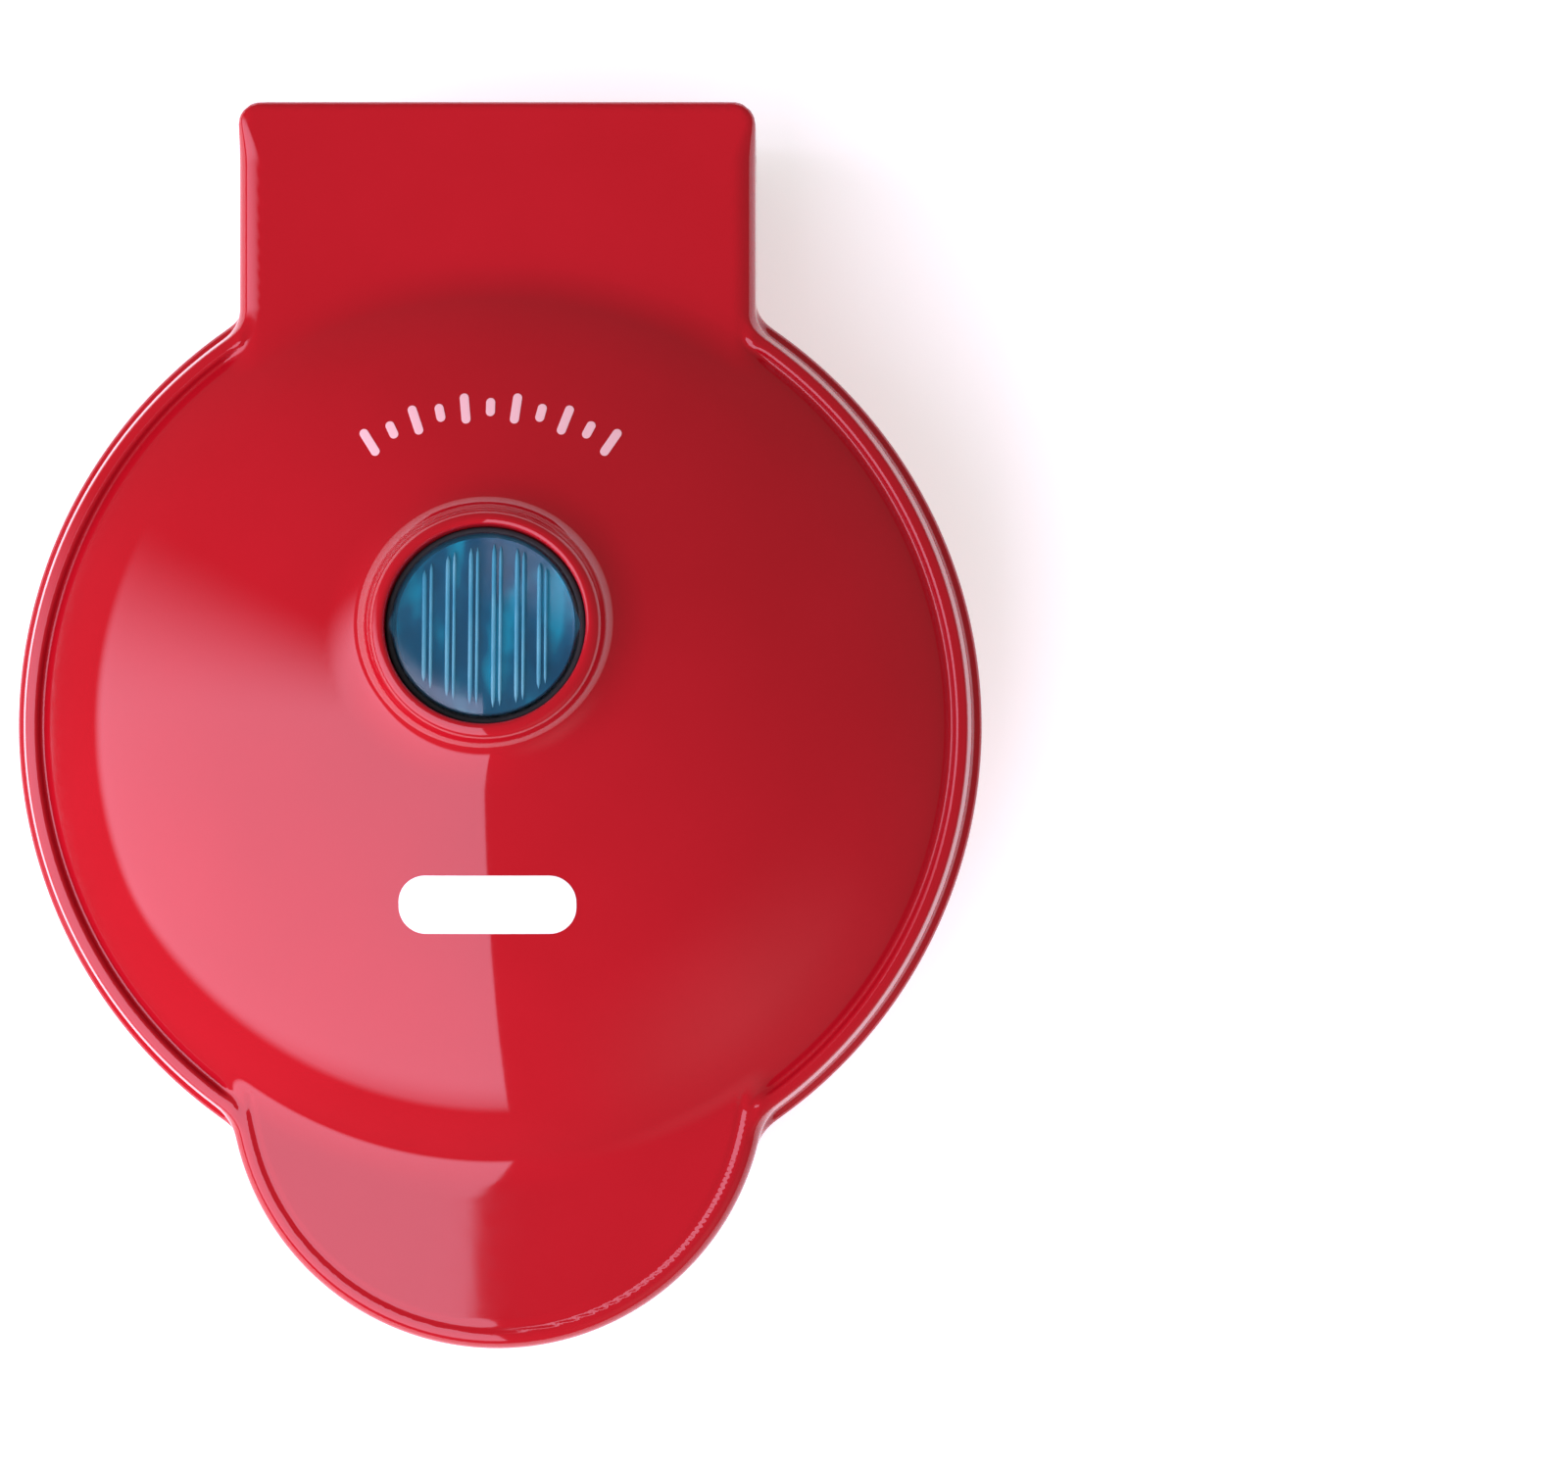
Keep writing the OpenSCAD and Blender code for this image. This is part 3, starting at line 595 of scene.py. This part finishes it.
_nt.links.new(ramp(_nt, noise(_nt, _v, 300, 2), [(0.3, (0.80, 0.9, 0.95)), (0.7, (0.92, 0.97, 1.0))]), _b.inputs["Base Color"])
_nt.links.new(scalar_ramp(_nt, noise(_nt, _v, 900, 2), 0.04, 0.1), _b.inputs["Roughness"])
_b.inputs["Transmission Weight"].default_value = 0.9
M_PRINT = plastic("pale_pink_print", (0.86, 0.52, 0.55), (0.80, 0.45, 0.48), rough=(0.3, 0.42), peel=0.03)
M_WHITE = plastic("white_print", (0.90, 0.89, 0.89), (0.84, 0.82, 0.82), rough=(0.3, 0.42), peel=0.03)

CAD_MATS = {
    "base_shell": M_RED, "lid_shell": M_RED, "base_liner": M_RED_IN, "lid_liner": M_RED_IN,
    "lower_plate": M_PLATE, "upper_plate": M_PLATE, "lower_heater": M_TUBE, "upper_heater": M_TUBE,
    "lower_reflector": M_SHEET, "upper_reflector": M_SHEET, "lower_reflector_screws": M_SCREW,
    "upper_reflector_screws": M_SCREW, "base_screws": M_SCREW, "lid_screws": M_SCREW, "foot_pads": M_BLACK,
    "hinge_pins": M_PIN, "cord_gland": M_BLACK, "cord_clamp": M_CREAM, "cord_clamp_screws": M_SCREW,
    "terminal_block": M_CREAM, "terminal_screws": M_BRASS, "thermal_fuse": M_CERAMIC, "base_wires": M_WIRE,
    "hinge_lead_lower": M_LEAD, "hinge_lead_upper": M_LEAD, "lens": M_LENS, "lens_gasket": M_BLACK,
    "lamp": M_LAMP, "lamp_holder": M_CREAM, "thermostat": M_CERAMIC, "thermostat_strap": M_SHEET,
    "thermostat_screws": M_SCREW, "lid_wires": M_WIRE,
}
for name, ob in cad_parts.items():
    ob.data.materials.clear()
    ob.data.materials.append(CAD_MATS[name])

# ------------------------------------------------------------------- shells
TURN = turn_lines()
P, Q, N = nets(lid_sdf, (spaced((11.6, 12.2, 0.3), (12.2, 19.6, 0.37), (19.6, 53.5, 1.4), (53.5, 57.4, 0.6),
                                (57.4, 63.9, 0.27), (63.9, 82.0, 0.48), (82.0, 89.2, 0.75)),
                         TURN,
                         spaced((30.7, 38.0, 0.42), (38.0, 46.0, 0.33), (46.0, 61.5, 0.8), (61.5, 71.2, 0.4))),
               turned(LENS_Y))
LID = mesh_piece("lid_moulding", P, Q, N, "lid", ["lid_shell"], M_RED)
P, Q, N = nets(base_sdf, (spaced((0.6, 32.0, 2.2), (32.0, 44.6, 0.5), (44.6, 57.4, 0.9), (57.4, 63.9, 0.3),
                                 (63.9, 84.0, 0.5), (84.0, 89.2, 0.75)),
                          TURN,
                          spaced((2.9, 6.6, 0.36), (6.6, 19.5, 0.52), (19.5, 23.4, 0.6), (23.4, 33.5, 0.33),
                                 (33.5, 38.6, 0.42))),
               turned())
BASE = mesh_piece("base_moulding", P, Q, N, "base", ["base_shell"], M_RED)


# ------------------------------------------------------------------- liners
def liner_sdf(y1, sink):
    """Local frame: z = 0 is the parting face, +z into the half."""
    ring = Revolve(rounded_outline([(50.5, 3), (54.2, 3), (54.2, 0), (61.0, 0), (61.0, 2), (56.5, 2),
                                    (56.5, 5), (50.5, 5)], [0.3, 0.2, 0.45, 0.35, 0.1, 0.1, 0.3, 0.3], 5),
                   -4.0, 12.0, 100.0)

    def f(x, y, z):
        r = np.sqrt(x * x + y * y)
        d = ring(r, z)
        hr = np.sqrt(x * x + (y + REACH - HANDLE) ** 2) - (HANDLE - 2.4)
        blk = np.maximum(block_plan(x, y, 0.9, 2.4), 44.0 - y)
        blk = np.maximum(blk, y - y1)
        flat = np.maximum(np.minimum(hr, blk), 56.0 - r)
        flat = round_max(flat, np.abs(z - 1.0) - 1.0, 0.4)
        d = smin(d, flat, 0.15)
        for cx, cy in SCREWS:
            d = smax(d, -(np.sqrt((x - cx) ** 2 + (y - cy) ** 2) - 1.5), 0.2)
            if sink:
                d = smax(d, -np.maximum(np.sqrt((x - cx) ** 2 + (y - cy) ** 2) - 2.85, z - 1.1), 0.25)
        return d
    return f


for nm, body, y1, sink, z0, sg in (("base_liner", "base", AXY - 5.5, False, PART - GAP, -1),
                                   ("lid_liner", "lid", AXY - 3.9, True, PART + GAP, 1)):
    P, Q, N = nets(liner_sdf(y1, sink),
                   (spaced((49.9, 52.0, 0.5), (52.0, 61.6, 0.34), (61.6, 83.5, 0.55)), TURN, spaced((-0.7, 5.7, 0.3))), turned())
    P = P * np.array([1, 1, sg]) + np.array([0, 0, z0])
    N = N * np.array([1, 1, sg])
    if sg < 0:
        Q = Q[:, ::-1]
    mesh_piece(nm + "_moulding", P, Q, N, body, [nm], M_RED_IN)


# ------------------------------------------------------------------- plates
LOBE_R, LOBE_X, HEART_Y, HEART_L = 25.3, 19.8, 11.0, 78.0
TIP_Y = HEART_Y + LOBE_R - HEART_L


def heart(x, y):
    """Signed distance to the heart outline: on each side a straight flank and the arc of a lobe."""
    ax = np.abs(x)
    cx, cy = ax - LOBE_X, y - HEART_Y
    axis = math.atan2(HEART_Y - TIP_Y, LOBE_X)
    d = math.hypot(LOBE_X, HEART_Y - TIP_Y)
    lean = axis - math.asin(LOBE_R / d)
    l = math.sqrt(d * d - LOBE_R ** 2)
    ux, uy = math.cos(lean), math.sin(lean)
    t = np.clip(ax * ux + (y - TIP_Y) * uy, 0, l)
    flank = np.hypot(ax - t * ux, y - TIP_Y - t * uy)
    side = ax * uy - (y - TIP_Y) * ux                    # > 0 outside the flank
    rad = np.hypot(cx, cy)
    ang = np.arctan2(cy, cx)
    top = math.sqrt(LOBE_R ** 2 - LOBE_X ** 2)
    on_arc = (ang > lean - math.pi / 2) & (ang < math.atan2(top, -LOBE_X))
    arc = np.where(on_arc, np.abs(rad - LOBE_R), np.hypot(ax, y - HEART_Y - top))
    low = (ax * ux + (y - TIP_Y) * uy) < l
    inside = (rad < LOBE_R) | ((side < 0) & low & (y < HEART_Y))
    dist = np.minimum(flank, arc)
    return np.where(inside, -dist, dist)


def plate_top(x, y):
    """Height of the cooking face below the land, positive down into the half."""
    h = heart(x, y)
    wall = np.clip(-h / 1.3, 0, 1)
    depth = 7.0 * wall * wall * (3 - 2 * wall)
    px = np.abs((x + 7.5) % 15.0 - 7.5)
    py = np.abs((y + 7.5) % 15.0 - 7.5)
    # rounded square pegs with draft, clipped by the heart's border channel
    q = np.sqrt(np.maximum(px - 3.3, 0) ** 2 + np.maximum(py - 3.3, 0) ** 2) + np.minimum(np.maximum(px, py) - 3.3, 0) - 1.1
    q = smax(q, h + 4.3, 0.8)
    t = np.clip(-(q - 0.75) / 1.35, 0, 1)
    peg = 5.0 * t * t * (3 - 2 * t)
    return depth - np.minimum(peg, np.maximum(depth - 2.0, 0))


def plate_mesh():
    """Cooking face as a fine grid over the disc, closed by the casting's back."""
    n = 300
    g = np.linspace(-1, 1, n)
    u, v = np.meshgrid(g, g, indexing="ij")
    # square to disc, keeping the middle nearly square
    x = u * np.sqrt(1 - v * v / 2)
    y = v * np.sqrt(1 - u * u / 2)
    R = 53.9
    x, y = x * R, y * R
    z = plate_top(x, y)
    rr = np.sqrt(x * x + y * y)
    edge = np.clip((rr - (R - 0.8)) / 0.8, 0, 1)
    z = z + 0.5 * edge ** 2
    top = np.stack([x, y, z], -1).reshape(-1, 3)
    idx = np.arange(n * n).reshape(n, n)
    quads = [tuple(q) for q in np.stack([idx[:-1, :-1], idx[1:, :-1], idx[1:, 1:], idx[:-1, 1:]], -1).reshape(-1, 4)]
    ring = list(idx[:, 0]) + list(idx[-1, 1:]) + list(idx[-2::-1, -1]) + list(idx[0, -2:0:-1])
    verts = [tuple(p) for p in top]
    prev = ring
    for rad, zz in ((R, 3.0), (50.2, 3.05), (49.9, 3.4), (49.9, 9.1), (49.5, 9.5), (0.4, 9.5)):
        cur = []
        for i in ring:
            a = math.atan2(top[i][1], top[i][0])
            verts.append((rad * math.cos(a), rad * math.sin(a), zz))
            cur.append(len(verts) - 1)
        m = len(ring)
        for k in range(m):
            quads.append((prev[k], cur[k], cur[(k + 1) % m], prev[(k + 1) % m]))
        prev = cur
    return np.array(verts), np.array(quads), prev


PV, PQ, PEND = plate_mesh()
for nm, body, z0, sg in (("lower_plate", "base", PART - GAP, -1), ("upper_plate", "lid", PART + GAP, 1)):
    V = PV * np.array([1, 1, sg]) + np.array([0, 0, z0])
    F = PQ[:, ::-1] if sg > 0 else PQ
    o = mesh_piece(nm + "_casting", V, F, None, body, [nm], M_PLATE)
    me = o.data
    bm = bmesh.new()
    bm.from_mesh(me)
    bmesh.ops.holes_fill(bm, edges=[e for e in bm.edges if e.is_boundary], sides=0)
    bmesh.ops.recalc_face_normals(bm, faces=bm.faces)
    for f in bm.faces:
        f.smooth = True
    for e in bm.edges:
        rim = min(v.co.xy.length for v in e.verts) > 0.049
        if rim and len(e.link_faces) == 2 and e.calc_face_angle(0) > math.radians(50):
            e.smooth = False
    bm.to_mesh(me)
    bm.free()


# ------------------------------------------------------------ turned pieces
def lathe(name, outline, n, place, body, replaces, mat, closed=True):
    """outline: (r, z) points in mm; place: Matrix in mm that puts it in the row frame."""
    m = len(outline)
    ang = [2 * math.pi * k / n for k in range(n)]
    V, F = [], []
    for r, z in outline:
        for a in ang:
            V.append(place @ Vector((r * math.cos(a), r * math.sin(a), z)))
    rows = m if closed else m - 1
    for i in range(rows):
        j = (i + 1) % m
        for k in range(n):
            l = (k + 1) % n
            F.append((i * n + k, i * n + l, j * n + l, j * n + k))
    me = bpy.data.meshes.new(name)
    me.from_pydata([tuple(v * MM) for v in V], [], F)
    bm = bmesh.new()
    bm.from_mesh(me)
    bmesh.ops.remove_doubles(bm, verts=bm.verts, dist=1e-7)
    bmesh.ops.recalc_face_normals(bm, faces=bm.faces)
    for f in bm.faces:
        f.smooth = True
    for e in bm.edges:
        if len(e.link_faces) == 2 and e.calc_face_angle(0) > math.radians(42):
            e.smooth = False
    bm.to_mesh(me)
    bm.free()
    me.materials.append(mat)
    o = bpy.data.objects.new(name, me)
    scene.collection.objects.link(o)
    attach(o, body)
    if replaces:
        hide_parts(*replaces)
    return o


foot = rounded_outline([(0, 0.6), (2.3, 0.6), (2.9, 0.02), (4.1, 0.02), (5.0, 1.2), (5.0, 5.1), (0, 5.1)],
                       [0, 0.4, 0.35, 0.5, 0.8, 0.2, 0], 5)
for i, (cx, cy) in enumerate(FEET):
    lathe("rubber_foot_%d" % i, foot, 48, Matrix.Translation((cx, cy, 0)), "base",
          ["foot_pads"] if i == 0 else [], M_BLACK)
# the cord's bush: a soft lip flush in the rear wall, its bore open to the inside
gl = rounded_outline([(3.1, -4.1), (6.5, -4.1), (6.5, -2.3), (4.9, -2.3), (4.9, 0.0), (3.1, 0.0)],
                     [0.3, 0.4, 0.3, 0.1, 0.5, 0.7], 6)
lathe("cord_bush", gl, 64, Matrix.Translation((0, REACH, 13.0)) @ Matrix.Rotation(-math.pi / 2, 4, "X"),
      "base", ["cord_gland"], M_BLACK)

# --------------------------------------------------------------- the lens
LENS_M = (Matrix.Translation((0, 0, DC)) @ Matrix.Rotation(-TILT, 4, "X")
          @ Matrix.Translation((0, 0, R_DOME)))
cap = [(0.01, 3.55)]
for i in range(1, 12):
    t = i / 12
    cap.append((11.2 * t, 3.55 - 0.85 * t * t))
cap += [(11.4, 2.62), (11.62, 2.3), (11.65, 1.9), (11.65, -1.0), (11.4, -1.0), (11.4, 1.35)]
for i in range(11, 0, -1):
    t = i / 12
    cap.append((11.4 * t, 2.15 - 0.7 * t * t))
cap.append((0.01, 2.15))
LENS = lathe("lens_cover", cap, 128, LENS_M, "lid", ["lens"], M_LENS)
for v in LENS.data.vertices:                 # locating nubs at each side
    p = LENS_M.inverted() @ (v.co / MM)
    rr = math.hypot(p.x, p.y)
    if rr > 11.3:
        a = math.atan2(p.y, abs(p.x))
        k = 1 + 0.045 * math.exp(-(a / 0.10) ** 2)
        q = LENS_M @ Vector((p.x * k, p.y * k, p.z))
        v.co = q * MM

back = [(0.01, 0.5), (10.7, 0.5), (11.2, 0.9), (11.25, -0.4), (0.01, -0.4)]
lathe("lens_back", back, 96, LENS_M, "lid", [], M_LENS_BACK)
# two thin bars along the edges of each lens rib, the left one wider: painted highlight, the glints on the rib edges
# drawn as pale cyan geometry
bars_v, bars_f = [], []
for cx in (-7.3, -4.4, -1.5, 1.4, 4.3, 7.1):
    for dx in (-0.42, 0.42):
        x0 = cx + dx
        half = math.sqrt(max(10.6 ** 2 - x0 * x0, 1)) - 0.35 + 0.25 * math.sin(7 * x0)
        rad = 0.29 if dx < 0 else 0.22
        n, ys = 10, 26
        b0 = len(bars_v)
        for j in range(ys):
            t = -1 + 2 * j / (ys - 1)
            yy = t * half
            taper = math.sqrt(max(1 - abs(t) ** 14, 0.02))
            for k in range(n):
                a = 2 * math.pi * k / n
                bars_v.append(tuple(LENS_M @ Vector((x0 + rad * taper * math.cos(a), yy, 0.75 + 0.5 * taper * max(math.sin(a), -0.6)))))
        for j in range(ys - 1):
            for k in range(n):
                l = (k + 1) % n
                bars_f.append((b0 + j * n + k, b0 + j * n + l, b0 + (j + 1) * n + l, b0 + (j + 1) * n + k))
        bars_f.append(tuple(b0 + k for k in range(n - 1, -1, -1)))
        bars_f.append(tuple(b0 + (ys - 1) * n + k for k in range(n)))
me = bpy.data.meshes.new("lens_rib_glints")
me.from_pydata([tuple(Vector(v) * MM) for v in bars_v], [], bars_f)
bm = bmesh.new()
bm.from_mesh(me)
bmesh.ops.recalc_face_normals(bm, faces=bm.faces)
for f in bm.faces:
    f.smooth = True
bm.to_mesh(me)
bm.free()
me.materials.append(M_RIB_GLINT)
o = bpy.data.objects.new("lens_rib_glints", me)
scene.collection.objects.link(o)
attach(o, "lid")

gk = rounded_outline([(11.75, -4.5), (12.55, -4.5), (12.55, 1.2), (11.75, 1.2)], [0.1, 0.1, 0.3, 0.3], 4)
lathe("lens_seal", gk, 96, LENS_M, "lid", ["lens_gasket"], M_BLACK)


# ------------------------------------------------- printed marks on the dome
def on_dome(name, outline, mat, thick=0.06, inner=5):
    """A thin raised patch that follows the dome: outline in plan, mm, star shaped about its centre."""
    c = np.mean(np.array(outline), 0)
    m = len(outline)
    V, F = [], []

    def zt(x, y, o):
        return DC + math.sqrt((R_DOME + o) ** 2 - x * x - y * y)
    V.append((c[0], c[1], zt(c[0], c[1], thick)))
    for s in range(1, inner + 1):
        for p in outline:
            q = c + (np.array(p) - c) * s / inner
            V.append((q[0], q[1], zt(q[0], q[1], thick if s < inner else thick * 0.85)))
    for p in outline:
        q = c + (np.array(p) - c) * 1.004
        V.append((q[0], q[1], zt(q[0], q[1], -0.05)))
    for k in range(m):
        F.append((0, 1 + k, 1 + (k + 1) % m))
    for s in range(inner):
        for k in range(m):
            l = (k + 1) % m
            F.append((1 + s * m + k, 1 + (s + 1) * m + k, 1 + (s + 1) * m + l, 1 + s * m + l))
    V.append((c[0], c[1], zt(c[0], c[1], -0.05)))
    e = len(V) - 1
    for k in range(m):
        F.append((1 + inner * m + (k + 1) % m, 1 + inner * m + k, e))
    return V, F


def patch_piece(name, groups, mat):
    V, F = [], []
    for gv, gf in groups:
        b = len(V)
        V += gv
        F += [tuple(b + i for i in f) for f in gf]
    me = bpy.data.meshes.new(name)
    me.from_pydata([tuple(Vector(v) * MM) for v in V], [], F)
    bm = bmesh.new()
    bm.from_mesh(me)
    bmesh.ops.recalc_face_normals(bm, faces=bm.faces)
    for f in bm.faces:
        f.smooth = True
    for e in bm.edges:
        if len(e.link_faces) == 2 and e.calc_face_angle(0) > math.radians(40):
            e.smooth = False
    bm.to_mesh(me)
    bm.free()
    me.materials.append(mat)
    o = bpy.data.objects.new(name, me)
    scene.collection.objects.link(o)
    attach(o, "lid")
    return o


def capsule(cx, cy, ang, length, width, n=8):
    """Outline of a bar with round ends, its long side along ang."""
    r = width / 2
    ux, uy = math.cos(ang), math.sin(ang)
    out = []
    for end in (1, -1):
        for i in range(n + 1):
            a = -math.pi / 2 + math.pi * i / n + (0 if end > 0 else math.pi)
            lx = end * (length / 2 - r) + r * math.cos(a)
            ly = r * math.sin(a)
            out.append((cx + lx * ux - ly * uy, cy + lx * uy + ly * ux))
    return out


marks = []
for i in range(11):
    a = math.radians(90 + (5 - i) * 6.6)
    rad = 28.2
    ln = 4.0 if i % 2 == 0 else 2.4
    marks.append(on_dome("m", capsule(rad * math.cos(a), LENS_Y + rad * math.sin(a), a, ln, 1.15), M_PRINT))
patch_piece("arc_marks", marks, M_PRINT)

w, h, c = 11.2, 3.7, 3.4
badge = rounded_outline([(-w, -22.6 - h), (w, -22.6 - h), (w, -22.6 + h), (-w, -22.6 + h)], [c] * 4, 12)
dense = []
for i in range(len(badge)):
    a, b = np.array(badge[i]), np.array(badge[(i + 1) % len(badge)])
    n = max(1, int(np.linalg.norm(b - a) / 0.8))
    dense += [tuple(a + (b - a) * k / n) for k in range(n)]
patch_piece("plain_badge", [on_dome("b", dense, M_WHITE, 0.06, 10)], M_WHITE)

# --------------------------------------------------------------- the stage
def plane(name, size, z, mat):
    me = bpy.data.meshes.new(name)
    s = size / 2
    me.from_pydata([(-s, -s, z), (s, -s, z), (s, s, z), (-s, s, z)], [], [(0, 1, 2, 3)])
    o = bpy.data.objects.new(name, me)
    scene.collection.objects.link(o)
    me.materials.append(mat)
    return o


M_FLOOR, _nt, _b = material("pale_floor")
_v = tex_coords(_nt, 1.0)
_nt.links.new(ramp(_nt, noise(_nt, _v, 4, 2), [(0.3, (0.93, 0.93, 0.93)), (0.7, (0.95, 0.95, 0.95))]), _b.inputs["Base Color"])
_b.inputs["Roughness"].default_value = 0.9
_b.inputs["Specular IOR Level"].default_value = 0.0
_b.inputs["Emission Color"].default_value = (1.0, 1.0, 1.0, 1)     # lit from beneath, like a light table
_b.inputs["Emission Strength"].default_value = 0.42
plane("floor", 8.0, 0.0, M_FLOOR)

world = bpy.data.worlds.new("studio")
scene.world = world
world.use_nodes = True
world.node_tree.nodes["Background"].inputs["Color"].default_value = (1, 1, 1, 1)
_wn = world.node_tree
_lp = _wn.nodes.new("ShaderNodeLightPath")
_wm = _wn.nodes.new("ShaderNodeMapRange")     # softer in reflections than as fill light
_wm.inputs["To Min"].default_value = 0.52
_wm.inputs["To Max"].default_value = 0.20
_wn.links.new(_lp.outputs["Is Glossy Ray"], _wm.inputs["Value"])
_wa = _wn.nodes.new("ShaderNodeMath")         # the backdrop itself is white
_wa.operation = "MULTIPLY_ADD"
_wa.inputs[1].default_value = 0.5
_wn.links.new(_lp.outputs["Is Camera Ray"], _wa.inputs[0])
_wn.links.new(_wm.outputs["Result"], _wa.inputs[2])
_wn.links.new(_wa.outputs[0], _wn.nodes["Background"].inputs["Strength"])


def area(name, loc, target, sx, sy, power, color=(1, 1, 1), spread=math.pi):
    d = bpy.data.lights.new(name, "AREA")
    d.shape = "RECTANGLE"
    d.size, d.size_y = sx, sy
    d.energy = power
    d.color = color
    d.spread = spread
    o = bpy.data.objects.new(name, d)
    o.location = loc
    v = Vector(target) - Vector(loc)
    o.rotation_mode = "QUATERNION"
    o.rotation_quaternion = v.to_track_quat("-Z", "Y")
    scene.collection.objects.link(o)
    return o


def math_node(nt, op, a, b):
    n = nt.nodes.new("ShaderNodeMath")
    n.operation = op
    for i, v in enumerate((a, b)):
        if isinstance(v, (int, float)):
            n.inputs[i].default_value = v
        else:
            nt.links.new(v, n.inputs[i])
    return n.outputs[0]


def ramp_value(nt, out, stops):
    r = nt.nodes.new("ShaderNodeValToRGB")
    r.color_ramp.interpolation = "EASE"
    els = r.color_ramp.elements
    while len(els) < len(stops):
        els.new(0.5)
    for e, (p, v) in zip(els, stops):
        e.position = p
        e.color = (v, v, v, 1)
    nt.links.new(out, r.inputs["Fac"])
    return r.outputs["Color"]


# overhead panel at the front left, 1.15 m up. Its right edge is sharp, its rear
# and front edges fade out.
KX0, KX1, KY0, KY1, KH = -7.5, -0.078, -3.6, 3.4, 1.15
d = bpy.data.lights.new("key_panel", "AREA")
d.shape = "RECTANGLE"
d.size, d.size_y = KX1 - KX0, KY1 - KY0
d.energy = 3.25 * math.pi * d.size * d.size_y
d.color = (1.05, 0.90, 1.20)
d.use_nodes = True
nt = d.node_tree
geo = nt.nodes.new("ShaderNodeNewGeometry")
sep = nt.nodes.new("ShaderNodeSeparateXYZ")
nt.links.new(geo.outputs["Parametric"], sep.inputs["Vector"])
px = math_node(nt, "ADD", math_node(nt, "MULTIPLY", sep.outputs["X"], KX1 - KX0), KX0)
py = math_node(nt, "ADD", math_node(nt, "MULTIPLY", sep.outputs["Y"], KY1 - KY0), KY0)
slant = math_node(nt, "DIVIDE", py, math_node(nt, "SUBTRACT", 0.03, px))
rear = ramp_value(nt, math_node(nt, "MULTIPLY", slant, 1.0), [(0.02, 1.0), (0.56, 0.0)])
front = ramp_value(nt, math_node(nt, "MULTIPLY", py, -0.25), [(0.0, 1.0), (0.55, 1.0), (0.9, 0.0)])
side = ramp_value(nt, sep.outputs["X"], [(0.0, 0.0), (0.35, 1.0)])
both = math_node(nt, "MULTIPLY", math_node(nt, "MULTIPLY", rear, side), front)
nt.links.new(math_node(nt, "MULTIPLY", both, 1.0), nt.nodes["Emission"].inputs["Strength"])
o = bpy.data.objects.new("key_panel", d)
o.location = ((KX0 + KX1) / 2, (KY0 + KY1) / 2, KH)
scene.collection.objects.link(o)

# low, wide fill from the front right
d = bpy.data.lights.new("fill_right", "AREA")
d.shape = "RECTANGLE"
d.size, d.size_y = 2.6, 1.9
d.energy = 0.17 * math.pi * d.size * d.size_y
d.use_nodes = True
nt = d.node_tree
geo = nt.nodes.new("ShaderNodeNewGeometry")
sep = nt.nodes.new("ShaderNodeSeparateXYZ")
nt.links.new(geo.outputs["Parametric"], sep.inputs["Vector"])
soft = math_node(nt, "MULTIPLY", ramp_value(nt, sep.outputs["X"], [(0.0, 0.0), (0.5, 1.0), (1.0, 0.0)]),
                 ramp_value(nt, sep.outputs["Y"], [(0.0, 0.0), (0.5, 1.0), (1.0, 0.0)]))
nt.links.new(math_node(nt, "MULTIPLY", soft, 1.8), nt.nodes["Emission"].inputs["Strength"])
o = bpy.data.objects.new("fill_right", d)
o.location = (1.2, -1.5, 0.85)
o.rotation_euler = (Vector((0, 0, 0.02)) - o.location).to_track_quat("-Z", "Y").to_euler()
scene.collection.objects.link(o)

cam_d = bpy.data.cameras.new("cam")
cam = bpy.data.objects.new("cam", cam_d)
scene.collection.objects.link(cam)
cam_d.sensor_width = 36.0
cam_d.lens = 104.2
cam_d.clip_start, cam_d.clip_end = 0.05, 20
cam.location = (0.0374, -0.00126, 0.635)
scene.camera = cam
scene.view_settings.view_transform = "Standard"
scene.view_settings.look = "None"
